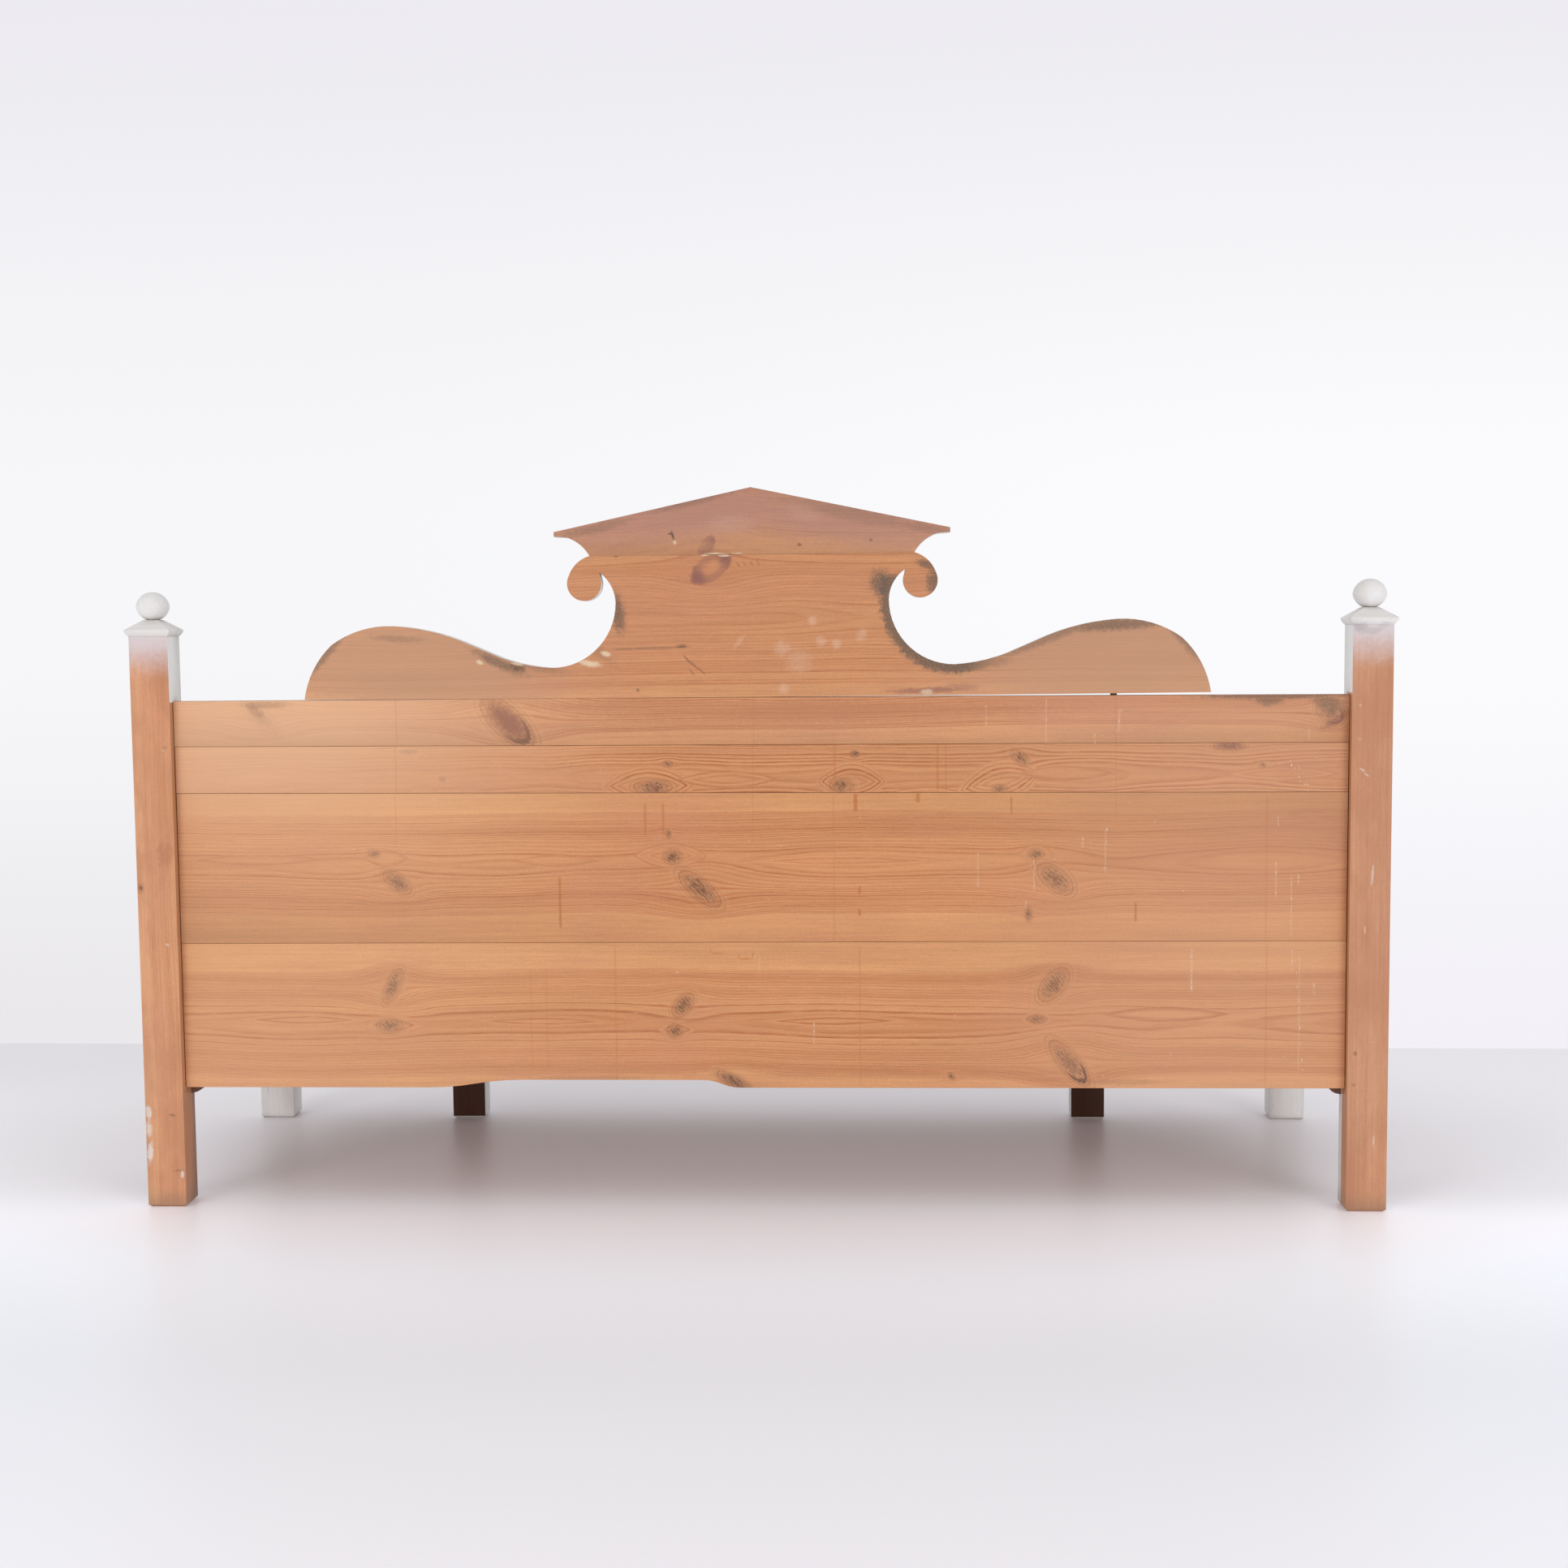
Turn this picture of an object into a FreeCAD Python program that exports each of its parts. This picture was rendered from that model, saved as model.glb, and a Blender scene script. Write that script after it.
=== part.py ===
import FreeCAD, Part
import os
from math import hypot

# A pull-out bench bed of pine. The seat is a hinged lid over a bed box, and the
# front of the box slides out on its own two legs to make a bed of double depth.
# Millimetres. X runs along the bench, Y points to its back and Z is up. The
# origin is on the floor under the middle of the whole bench.

Vector = FreeCAD.Vector

# Posts
bench_length = 1900.0
bench_depth = 604.0
post_width = 60.0
post_depth = 50.0
back_post_height = 885.0
front_post_height = 665.0
foot_chamfer = 4.0

# Caps and turned balls on the posts
cap_overhang = 5.7
cap_edge_height = 9.8
cap_nose_drop = 2.4
cap_height = 25.5
cap_ovolo_shares = (0.65, 0.45)
cap_top_width = 23.0
ball_width = 49.6
ball_height = 44.4
ball_foot_width = 19.0
ball_side_radius = 12.0
tenon_width = 14.0
tenon_length = 50.0

# Back boards, counted from the bottom one up. A level is a height at the
# middle of the bench, and a fall is how much lower the left end is than the
# right one. The top edge is also a little crowned.
board_thickness = 25.0
board_gap = 1.0
bottom_level = 186.5
first_seam_level = 411.7
second_seam_level = 640.0
third_seam_level = 713.2
top_level = 784.8
second_seam_fall = 8.4
third_seam_fall = 5.6
top_fall = 4.0
top_crown = 1.2
seam_gap = 0.4
edge_tongue_height = 7.0
edge_tongue_thickness = 8.0
end_tongue_length = 20.0
end_tongue_thickness = 12.0
groove_clearance = 1.0

# Waney stretch of the lowest board's bottom edge
wane_height = 12.0
wane_start = 505.0
wane_full_start = 365.0
wane_full_end = 84.0
wane_end = 25.0

# Pegs through the end tongues of the back boards
peg_width = 6.0
peg_length = 38.0
peg_inset = 12.0
left_upper_peg_level = 766.0
left_lower_peg_level = 715.5
right_peg_level = 710.5

# Crest, with heights above the ends of its bottom edge, which sags between them
crest_base = 786.6
crest_sag = 1.3
crest_half_width = 685.0
crest_height = 312.7
roof_half_width = 298.0
roof_end_height = 249.4
roof_end_thickness = 7.2
soffit_width = 19.5
soffit_drop = 1.5
cusp_half_width = 244.5
cusp_height = 212.9
cove_depth = 4.2
volute_place = 253.0
volute_height = 171.4
volute_radius = 26.0
volute_shoulder_bulge = 5.5
volute_shoulder_shares = (0.906, 0.423)
volute_slot_shares = (-0.990, 0.139)
slot_tip_place = 230.3
slot_tip_height = 188.4
neck_half_width = 205.7
neck_height = 143.4
neck_shoulder_bulge = 6.0
bay_radius = 98.3
hump_height = 110.6
hump_hollow_shares = ((0.105, 0.454), (0.207, 0.557))
hump_rise_shares = ((0.362, 0.787), (0.501, 0.935), (0.635, 1.000))
hump_fall_shares = ((0.769, 0.944), (0.885, 0.748), (0.957, 0.434))
dowel_spacing = 542.0
dowel_width = 10.0
dowel_length = 80.0

# Ends of the bench with their ogee arms
end_board_thickness = 22.0
end_board_base = 186.5
end_seam_level = 452.0
end_board_tongue = 14.0
end_board_tongue_thickness = 10.0
arm_back_level = 768.0
arm_front_level = 648.0
arm_sweep = 330.0
arm_thickness = 16.0
arm_width = 48.0

# Runners, cleats and the fixed half of the bed bottom
runner_width = 41.0
runner_thickness = 32.0
runner_top = 204.0
runner_rounding = 20.0
slide_gap = 0.5
cleat_thickness = 24.0
slat_width = 58.0
slat_thickness = 18.0
slat_base = 228.5
slat_side_gap = 3.0
fixed_slat_pairs = 4
drawer_slat_pairs = 4
slat_relief_depth = 1.0
slat_relief_margin = 12.0
slat_end_gap = 0.5
ledger_width = 30.0
ledger_thickness = 24.0
crossbar_thickness = 22.0
crossbar_setback = 17.0
crossbar_foot_height = 40.0
crossbar_side_gap = 3.0

# Seat
seat_top = 450.0
seat_thickness = 22.0
rail_width = 70.0
lid_gap = 0.3
lid_side_gap = 7.6
lid_overhang = 8.0
lid_front_board_width = 290.0
lid_seam_gap = 0.4
lid_rounding = 9.0
lid_batten_spacing = 560.0
lid_batten_width = 60.0
lid_batten_thickness = 20.0
lid_batten_rear_gap = 42.0
lid_batten_front_gap = 6.0
lid_batten_bevel = 8.0

# Hinges of the seat
hinge_place = 560.0
hinge_length = 75.0
hinge_leaf_width = 30.0
hinge_leaf_thickness = 2.4
knuckle_radius = 4.5
knuckle_gap = 0.3
pin_radius = 2.5
pin_clearance = 0.05
leaf_relief = 0.8

# Pull-out front
front_board_thickness = 24.0
front_board_setback = 5.0
front_board_side_gap = 3.0
front_board_base = 140.0
front_board_top = 426.0
leg_outer_place = 593.0
leg_width = 59.0
leg_depth = 45.0
leg_top = 398.0
drawer_side_thickness = 22.0
drawer_side_gap = 4.0
drawer_side_top = 400.0
drawer_rear_gap = 2.5
drawer_crossbar_width = 30.0
drawer_ledger_width = 35.0
drawer_ledger_side_gap = 0.5
moulding_margin = 36.0
moulding_width = 22.0
moulding_thickness = 8.0
moulding_outer_rounding = 5.0
moulding_inner_rounding = 3.0
moulding_count = 3

# How far a cut runs past what it cuts
overrun = 5.0

# Places that follow from the sizes
post_outer = bench_length / 2
post_inner = post_outer - post_width
post_middle = (post_inner + post_outer) / 2
rear_y = (bench_depth + lid_overhang - cap_overhang) / 2
front_y = rear_y - bench_depth
back_post_front_y = rear_y - post_depth
front_post_rear_y = front_y + post_depth
board_middle_y = rear_y - post_depth / 2
board_rear_y = board_middle_y + board_thickness / 2
board_front_y = board_middle_y - board_thickness / 2
board_end = post_inner - board_gap
edge_levels = [bottom_level, first_seam_level, second_seam_level, third_seam_level, top_level]
edge_falls = [0, 0, second_seam_fall, third_seam_fall, top_fall]
edge_crowns = [0, 0, 0, 0, top_crown]
tongue_end = post_inner + end_tongue_length
end_board_inner = post_middle - end_board_thickness / 2
carrier_inner = end_board_inner - runner_width
slat_top = slat_base + slat_thickness
seat_base = seat_top - seat_thickness
rail_front_y = board_front_y - rail_width
lid_rear_y = rail_front_y - 2 * slide_gap
lid_front_y = front_y - lid_overhang
lid_base = seat_base + lid_gap
lid_top = seat_top + lid_gap
lid_end = post_inner - lid_side_gap
lid_seam_y = lid_front_y + lid_front_board_width
hinge_y = (rail_front_y + lid_rear_y) / 2
hinge_z = lid_top + knuckle_radius + lid_gap
front_board_front_y = front_y + front_board_setback
front_board_rear_y = front_board_front_y + front_board_thickness
front_board_end = post_inner - front_board_side_gap
leg_inner_place = leg_outer_place - leg_width
leg_rear_y = front_board_front_y + leg_depth
drawer_side_outer = post_inner - drawer_side_gap
drawer_side_inner = drawer_side_outer - drawer_side_thickness
slat_pitch = (drawer_side_inner - slat_side_gap - slat_width / 2) / (2 * drawer_slat_pairs)
drawer_base = runner_top + slide_gap
drawer_rear_y = board_front_y - ledger_width - drawer_rear_gap
crossbar_front_y = front_post_rear_y + crossbar_setback
crossbar_rear_y = crossbar_front_y + crossbar_thickness
crossbar_end = drawer_side_inner - crossbar_side_gap
arm_foot_y = back_post_front_y - arm_sweep
sides = {"left": -1, "right": 1}


def box(x_span, y_span, z_span):
    """A block between the given ends along X, Y and Z, in either order."""
    spans = [sorted(span) for span in (x_span, y_span, z_span)]
    corner = Vector(*[low for low, high in spans])
    lengths = [high - low for low, high in spans]
    return Part.makeBox(*lengths, corner)


def around(middle, width):
    """The two ends of a stretch of this width about its middle."""
    return (middle - width / 2, middle + width / 2)


def rod(radius, start, end):
    """A round bar from one point to another."""
    run = end - start
    return Part.makeCylinder(radius, run.Length, start, run)


def bulged(start, end, height):
    """The point beside the middle of a line, on its left, for an arc through it."""
    run = (end[0] - start[0], end[1] - start[1])
    length = hypot(*run)
    middle = ((start[0] + end[0]) / 2, (start[1] + end[1]) / 2)
    return (middle[0] - run[1] / length * height, middle[1] + run[0] / length * height)


def edges_along(start, steps, place):
    """Edges of an outline. A step is a point for a straight edge, or a pair of
    points for an arc through the first to the second."""
    edges = []
    here = start
    for step in steps:
        if isinstance(step[0], tuple):
            via, end = step
            edges.append(Part.Arc(place(*here), place(*via), place(*end)).toShape())
            here = end
        else:
            edges.append(Part.makeLine(place(*here), place(*step)))
            here = step
    return edges


def upright(u, v):
    """A point of an outline drawn along X and Z."""
    return Vector(u, 0, v)


def sideways(u, v):
    """A point of an outline drawn along Y and Z."""
    return Vector(0, u, v)


def plate_y(edges, y_span):
    """A plate with an outline drawn along X and Z, between two places along Y."""
    low, high = sorted(y_span)
    face = Part.Face(Part.Wire(Part.__sortEdges__(edges)))
    face.translate(Vector(0, low, 0))
    return face.extrude(Vector(0, high - low, 0)).removeSplitter()


def plate_x(edges, x_span):
    """A plate with an outline drawn along Y and Z, between two places along X."""
    low, high = sorted(x_span)
    face = Part.Face(Part.Wire(Part.__sortEdges__(edges)))
    face.translate(Vector(low, 0, 0))
    return face.extrude(Vector(high - low, 0, 0)).removeSplitter()


def ogee(high, low, drop):
    """Two arcs that lead from a high level end to a low level end. They lie at
    an even distance, the drop, under the line that is given by its ends."""
    run = low[0] - high[0]
    rise = high[1] - low[1]
    radius = (run * run + rise * rise) / (4 * rise)
    upper = (high[0], high[1] - radius)
    lower = (low[0], low[1] + radius)
    along = ((lower[0] - upper[0]) / (2 * radius), (lower[1] - upper[1]) / (2 * radius))
    turn = hypot(along[0], along[1] + 1)
    half = (along[0] / turn, (along[1] + 1) / turn)

    def from_upper(way):
        return (upper[0] + way[0] * (radius - drop), upper[1] + way[1] * (radius - drop))

    def from_lower(way):
        return (lower[0] - way[0] * (radius + drop), lower[1] - way[1] * (radius + drop))

    start = from_upper((0, 1))
    return start, [(from_upper(half), from_upper(along)), (from_lower(half), from_lower((0, 1)))]


def foot_chamfered(shape):
    """The piece with the edges under its foot taken off."""
    foot = [edge for edge in shape.Edges if edge.BoundBox.ZMax < foot_chamfer]
    return shape.makeChamfer(foot_chamfer, foot)


def edge_height(index, x):
    """Height of a back board's edge at a place along the bench."""
    share = x / board_end
    return edge_levels[index] + edge_falls[index] * share / 2 - edge_crowns[index] * share ** 2


def tenon_bore(side, y, top):
    """The hole that a ball's tenon goes into, from the cap's top down."""
    x = side * post_middle
    return rod(tenon_width / 2, Vector(x, y, top - tenon_length), Vector(x, y, top))


def back_post(side):
    """A back post, grooved for the back boards and for the end boards."""
    post = box((side * post_inner, side * post_outer), (back_post_front_y, rear_y), (0, back_post_height))
    post = foot_chamfered(post)
    groove_end = tongue_end + groove_clearance
    top = max(edge_height(-1, side * x) for x in (post_inner, tongue_end))
    grooves = [
        box(
            (side * (post_inner - overrun), side * groove_end),
            around(board_middle_y, end_tongue_thickness),
            (edge_levels[0], top),
        ),
        box(
            around(side * post_middle, end_board_tongue_thickness),
            (back_post_front_y - overrun, back_post_front_y + end_board_tongue + groove_clearance),
            (end_board_base, arm_back_level - arm_thickness),
        ),
        tenon_bore(side, rear_y - post_depth / 2, back_post_height + cap_height),
    ]
    return post.cut(grooves + pegs(side))


def front_post(side):
    """A front post, shorter than a back post and grooved for the end boards."""
    post = box((side * post_inner, side * post_outer), (front_y, front_post_rear_y), (0, front_post_height))
    post = foot_chamfered(post)
    groove = box(
        around(side * post_middle, end_board_tongue_thickness),
        (front_post_rear_y - end_board_tongue - groove_clearance, front_post_rear_y + overrun),
        (end_board_base, arm_front_level - arm_thickness),
    )
    bore = tenon_bore(side, front_y + post_depth / 2, front_post_height + cap_height)
    return post.cut([groove, bore])


def cap_edges(half_width, place):
    """Outline of a cap across one of its two directions, about its middle."""
    half_top = cap_top_width / 2
    wide = half_width + cap_overhang
    bend = (
        half_width + cap_overhang * cap_ovolo_shares[0],
        cap_edge_height * cap_ovolo_shares[1],
    )
    nose = (wide, cap_edge_height)
    shoulder = (wide - cap_nose_drop / 2, cap_edge_height + cap_nose_drop / 2)
    outline = edges_along(
        (0, 0),
        [(half_width, 0), (bend, nose), shoulder, (half_top, cap_height), (0, cap_height)],
        place,
    )
    across = Vector(1, 0, 0) if place is upright else Vector(0, 1, 0)
    return outline + [edge.mirror(Vector(0, 0, 0), across) for edge in outline]


def post_cap(side, y, base):
    """A moulded cap: two crossing outlines leave its mitred shape in common."""
    long = (-post_width, post_width)
    along_y = plate_y(cap_edges(post_width / 2, upright), long)
    along_x = plate_x(cap_edges(post_depth / 2, sideways), long)
    cap = along_y.common(along_x)
    cap.translate(Vector(side * post_middle, y, base))
    return cap.cut(tenon_bore(side, y, base + cap_height + overrun))


def ball_finial(side, y, base):
    """A turned ball, a little flattened, with the tenon that holds it. Its
    round side runs into the flatter top and underside without a corner."""
    half_width = ball_width / 2
    half_height = ball_height / 2
    foot = ball_foot_width / 2
    reach = half_width - ball_side_radius
    spare = half_height - ball_side_radius
    offset = (reach ** 2 - spare ** 2) / (2 * spare)
    top_radius = half_height + offset
    rise = (top_radius ** 2 - foot ** 2) ** 0.5 - offset
    join = reach * top_radius / hypot(reach, offset)

    def crown(x, way):
        return Vector(x, 0, rise + way * ((top_radius ** 2 - x ** 2) ** 0.5 - offset))

    top = crown(0, 1)
    low = Vector(foot, 0, 0)
    arcs = [
        Part.Arc(low, crown((foot + join) / 2, -1), crown(join, -1)),
        Part.Arc(crown(join, -1), Vector(half_width, 0, rise), crown(join, 1)),
        Part.Arc(crown(join, 1), crown(join / 2, 1), top),
    ]
    tenon = tenon_width / 2
    root = Vector(0, 0, -tenon_length)
    shank = [top, root, Vector(tenon, 0, -tenon_length), Vector(tenon, 0, 0), low]
    outline = Part.makePolygon(shank).Edges + [arc.toShape() for arc in arcs]
    face = Part.Face(Part.Wire(Part.__sortEdges__(outline)))
    finial = face.revolve(Vector(0, 0, 0), Vector(0, 0, 1), 360)
    finial.translate(Vector(side * post_middle, y, base))
    return finial


def pegs(side):
    """Square pegs driven in from behind through the boards' end tongues."""
    levels = [left_upper_peg_level, left_lower_peg_level] if side < 0 else [right_peg_level]
    across = around(side * (post_inner + peg_inset), peg_width)
    return [box(across, (rear_y - peg_length, rear_y), around(z, peg_width)) for z in levels]


def board_strip(reach, thickness, low, low_lift, high, high_lift):
    """A strip along the back from one of the sloping edges to another, each
    given by its number and lifted by so much."""
    corners = [
        (-reach, low, low_lift), (reach, low, low_lift),
        (reach, high, high_lift), (-reach, high, high_lift),
    ]
    points = [(x, edge_height(index, x) + lift) for x, index, lift in corners]
    edges = edges_along(points[-1], points, upright)
    return plate_y(edges, around(board_middle_y, thickness))


def wane():
    """What is missing from the lowest board's edge, where the bark once was."""
    base = edge_levels[0]
    deep = base - overrun
    high = base + wane_height
    middle = (wane_full_start + wane_full_end) / 2
    halves = []
    for full, end in ((wane_full_start, wane_start), (wane_full_end, wane_end)):
        start, steps = ogee((full, high), (end, base), 0)
        steps = steps + [(end, deep), (middle, deep), (middle, high), start]
        edges = edges_along(start, steps, upright)
        halves.append(plate_y(edges, around(board_middle_y, board_thickness + 2 * overrun)))
    return halves


def over_top_edge():
    """What is planed off above the top board's crowned edge."""
    reach = tongue_end + overrun
    left, middle, right = [(x, edge_height(-1, x)) for x in (-reach, 0, reach)]
    high = top_level + 2 * overrun
    edges = edges_along(left, [(middle, right), (reach, high), (-reach, high), left], upright)
    return plate_y(edges, around(board_middle_y, board_thickness + 2 * overrun))


def back_board(index):
    """A back board with a tongue above, a groove below and a tongue at each end."""
    lowest = index == 0
    above = index + 1
    topmost = above + 1 == len(edge_levels)
    gap = 0 if lowest else seam_gap
    spare = overrun if topmost else 0
    board = board_strip(board_end, board_thickness, index, gap, above, spare)
    board = board.fuse(board_strip(tongue_end, end_tongue_thickness, index, gap, above, spare))
    if topmost:
        board = board.cut([over_top_edge()] + crest_dowels())
    else:
        lift = edge_tongue_height
        board = board.fuse(board_strip(board_end, edge_tongue_thickness, above, -lift, above, lift))
    if lowest:
        board = board.cut(wane())
    else:
        depth = edge_tongue_height + groove_clearance
        board = board.cut(board_strip(board_end, edge_tongue_thickness, index, -overrun, index, depth))
    return board.removeSplitter().cut(pegs(-1) + pegs(1))


def crest_dowels():
    """The dowels that stand the crest on the top board."""
    half = dowel_length / 2
    return [
        rod(
            dowel_width / 2,
            Vector(x, board_middle_y, crest_base - half),
            Vector(x, board_middle_y, crest_base + half),
        )
        for x in (-dowel_spacing, 0, dowel_spacing)
    ]


def crest_plate(start, steps):
    """A board of the crest from one half of its outline."""
    edges = edges_along(start, steps, upright)
    edges += [edge.mirror(Vector(0, 0, 0), Vector(1, 0, 0)) for edge in edges]
    plate = plate_y(edges, (board_front_y, board_rear_y))
    plate.translate(Vector(0, 0, crest_base))
    return plate


def crest_board():
    """The lower board of the crest: humps, round bays, neck and two volutes."""
    valley = (neck_half_width + bay_radius, neck_height - bay_radius)
    run = crest_half_width - valley[0]

    def on_hump(shares):
        return [(valley[0] + u * run, v * hump_height) for u, v in shares]

    hollow_middle, hollow_end = on_hump(hump_hollow_shares)
    rise_start, rise_middle, top = on_hump(hump_rise_shares)
    fall_middle, fall_end, foot_middle = on_hump(hump_fall_shares)
    neck = (neck_half_width, neck_height)
    deep = 1 - 0.5 ** 0.5
    bay = (neck[0] + bay_radius * deep, valley[1] + bay_radius * deep)
    tip = (slot_tip_place, slot_tip_height)
    slot = (
        volute_place + volute_radius * volute_slot_shares[0],
        volute_height + volute_radius * volute_slot_shares[1],
    )
    shoulder = (
        volute_place + volute_radius * volute_shoulder_shares[0],
        volute_height + volute_radius * volute_shoulder_shares[1],
    )
    cusp = (cusp_half_width, cusp_height)
    start = (0, -crest_sag)
    foot = (crest_half_width, 0)
    steps = [
        (bulged(start, foot, -crest_sag / 4), foot),
        (foot_middle, fall_end),
        (fall_middle, top),
        (rise_middle, rise_start),
        hollow_end,
        (hollow_middle, valley),
        (bay, neck),
        (bulged(neck, tip, neck_shoulder_bulge), tip),
        slot,
        ((volute_place, volute_height - volute_radius), shoulder),
        (bulged(cusp, shoulder, volute_shoulder_bulge), cusp),
        (0, cusp_height),
    ]
    return crest_plate(start, steps).cut(crest_dowels())


def crest_pediment():
    """The upper board of the crest: a low gable with coved ends."""
    cusp = (cusp_half_width, cusp_height)
    roof_foot = (roof_half_width, roof_end_height - roof_end_thickness)
    soffit = (roof_half_width - soffit_width, roof_foot[1] - soffit_drop)
    steps = [
        cusp,
        (bulged(cusp, soffit, cove_depth), soffit),
        roof_foot,
        (roof_half_width, roof_end_height),
        (0, crest_height),
    ]
    return crest_plate((0, cusp_height), steps)


def arm_line(drop):
    """The line of the arm from the back post to the front post, so far below
    its top: an ogee down from the back and a level stretch to the front."""
    high = (back_post_front_y, arm_back_level)
    low = (arm_foot_y, arm_front_level)
    top, steps = ogee(high, low, drop)
    return top, steps + [(front_post_rear_y, arm_front_level - drop)]


def arm_rest(side):
    """The strip that lies along the top of an end."""
    start, over = arm_line(0)
    foot, under = arm_line(arm_thickness)
    edges = edges_along(start, over, sideways)
    edges += edges_along(foot, under, sideways)
    edges += edges_along(start, [foot], sideways)
    edges += edges_along(over[-1], [under[-1]], sideways)
    return plate_x(edges, around(side * post_middle, arm_width))


def end_board(side, low, high, edges):
    """An end board with this outline, and tongues that end so high in the posts."""
    board = plate_x(edges, around(side * post_middle, end_board_thickness))
    across = around(side * post_middle, end_board_tongue_thickness)
    rear, front = back_post_front_y, front_post_rear_y
    tongues = [
        box(across, (rear, rear + end_board_tongue), (low, high[0])),
        box(across, (front, front - end_board_tongue), (low, high[1])),
    ]
    return board.multiFuse(tongues).removeSplitter()


def end_board_upper(side):
    """The upper end board, cut to the line under the arm rest."""
    start, steps = arm_line(arm_thickness)
    base = end_seam_level + seam_gap
    steps = steps + [(front_post_rear_y, base), (back_post_front_y, base), start]
    tops = (arm_back_level - arm_thickness, arm_front_level - arm_thickness)
    return end_board(side, base, tops, edges_along(start, steps, sideways))


def end_board_lower(side):
    """The lower end board."""
    rear, front = back_post_front_y, front_post_rear_y
    low, high = end_board_base, end_seam_level
    corners = [(rear, high), (front, high), (front, low), (rear, low)]
    edges = edges_along(corners[-1], corners, sideways)
    return end_board(side, low, (high, high), edges)


def side_runner(side):
    """The runner under a drawer side, notched round the back post. Its lower
    inner edge is rounded, and its rear end shows under the back boards."""
    base = runner_top - runner_thickness
    runner = box(
        (side * carrier_inner, side * end_board_inner),
        (front_post_rear_y, board_front_y),
        (base, runner_top),
    )
    edge = [
        edge for edge in runner.Edges
        if edge.BoundBox.ZMax < base + seam_gap and edge.BoundBox.YLength > runner_width
        and abs(edge.CenterOfMass.x) < end_board_inner - runner_width / 2
    ]
    runner = runner.makeFillet(runner_rounding, edge)
    notch = box(
        (side * post_inner, side * post_outer),
        (back_post_front_y, rear_y),
        (base - overrun, runner_top + overrun),
    )
    return runner.cut(notch)


def lid_cleat(side):
    """The cleat along an end board that the seat rests on."""
    return box(
        (side * carrier_inner, side * end_board_inner),
        (front_post_rear_y, back_post_front_y),
        (seat_base - cleat_thickness, seat_base),
    )


def rear_seat_rail():
    """The fixed strip of the seat along the back, notched round the posts."""
    rail = box((-end_board_inner, end_board_inner), (rail_front_y, board_front_y), (seat_base, seat_top))
    notches = [
        box(
            (side * post_inner, side * post_outer),
            (back_post_front_y, rear_y),
            (seat_base - overrun, seat_top + overrun),
        )
        for side in sides.values()
    ]
    return rail.cut(notches)


def rear_slat_ledger():
    """The ledger on the back boards that carries the fixed slats."""
    return box(
        (-carrier_inner, carrier_inner),
        (board_front_y - ledger_width, board_front_y),
        (slat_base - ledger_thickness, slat_base),
    )


def slat_places(pairs, offset):
    """Middles of a set of slats, a pair of pitches apart, on both sides."""
    places = [offset * slat_pitch + 2 * slat_pitch * number for number in range(pairs + 1)]
    if offset:
        places = places[:-1]
    return sorted({side * place for place in places for side in (-1, 1)})


def reliefs(places, y_span):
    """Shallow notches in a bar's top, where the other set of slats runs over it."""
    width = slat_width + 2 * slat_relief_margin
    return [
        box(around(x, width), y_span, (slat_base - slat_relief_depth, slat_base + overrun))
        for x in places
    ]


def fixed_crossbar():
    """The bar on edge under the fixed slats. Its ends go under the runners."""
    span = (crossbar_front_y, crossbar_rear_y)
    runner_base = runner_top - runner_thickness
    base = runner_base - crossbar_foot_height
    bar = box((-crossbar_end, crossbar_end), span, (base, slat_base))
    foot = box((-end_board_inner, end_board_inner), span, (base, runner_base))
    cuts = reliefs(slat_places(drawer_slat_pairs, 0), (span[0] - overrun, span[1] + overrun))
    return bar.fuse(foot).cut(cuts).removeSplitter()


def slats(places, y_span):
    """A set of equal slats."""
    return [box(around(x, slat_width), y_span, (slat_base, slat_top)) for x in places]


def fixed_slats():
    """The slats that stay with the bench."""
    return slats(slat_places(fixed_slat_pairs, 1), (crossbar_front_y, board_front_y - slat_end_gap))


def drawer_slats():
    """The slats that slide out between the fixed ones."""
    return slats(slat_places(drawer_slat_pairs, 0), (front_board_rear_y + slat_end_gap, drawer_rear_y))


def front_board():
    """The board that shows as the front of the bench and pulls out."""
    return box(
        (-front_board_end, front_board_end),
        (front_board_front_y, front_board_rear_y),
        (front_board_base, front_board_top),
    )


def moulding_strip(length):
    """A strip of moulding along X, rounded on both edges and mitred at its ends."""
    width, rise = moulding_width, moulding_thickness
    outer, inner = moulding_outer_rounding, moulding_inner_rounding
    deep = 1 - 0.5 ** 0.5
    profile = [
        (0, outer - rise),
        ((outer * deep, outer * deep - rise), (outer, -rise)),
        (width - inner, -rise),
        (width, inner - rise),
        (width, 0),
        (0, 0),
    ]
    edges = edges_along((0, 0), profile, lambda across, out: Vector(0, out, across))
    strip = plate_x(edges, (0, length))
    mitre = [(length, 0), (length - width, width), (width, width), (0, 0)]
    wedge = plate_y(edges_along((0, 0), mitre, upright), (-rise - overrun, overrun))
    return strip.common(wedge).Solids[0]


def moulding(number):
    """A mitred frame of four strips on the front board."""
    width = (2 * front_board_end - (moulding_count + 1) * moulding_margin) / moulding_count
    left = -front_board_end + moulding_margin + number * (width + moulding_margin)
    right = left + width
    low = front_board_base + moulding_margin
    high = front_board_top - moulding_margin
    sides_in_turn = [
        (left, low, width), (right, low, high - low),
        (right, high, width), (left, high, high - low),
    ]
    strips = []
    for turn, (x, z, length) in enumerate(sides_in_turn):
        strip = moulding_strip(length)
        strip.rotate(Vector(0, 0, 0), Vector(0, 1, 0), -90 * turn)
        strip.translate(Vector(x, front_board_front_y, z))
        strips.append(strip)
    return strips


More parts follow.
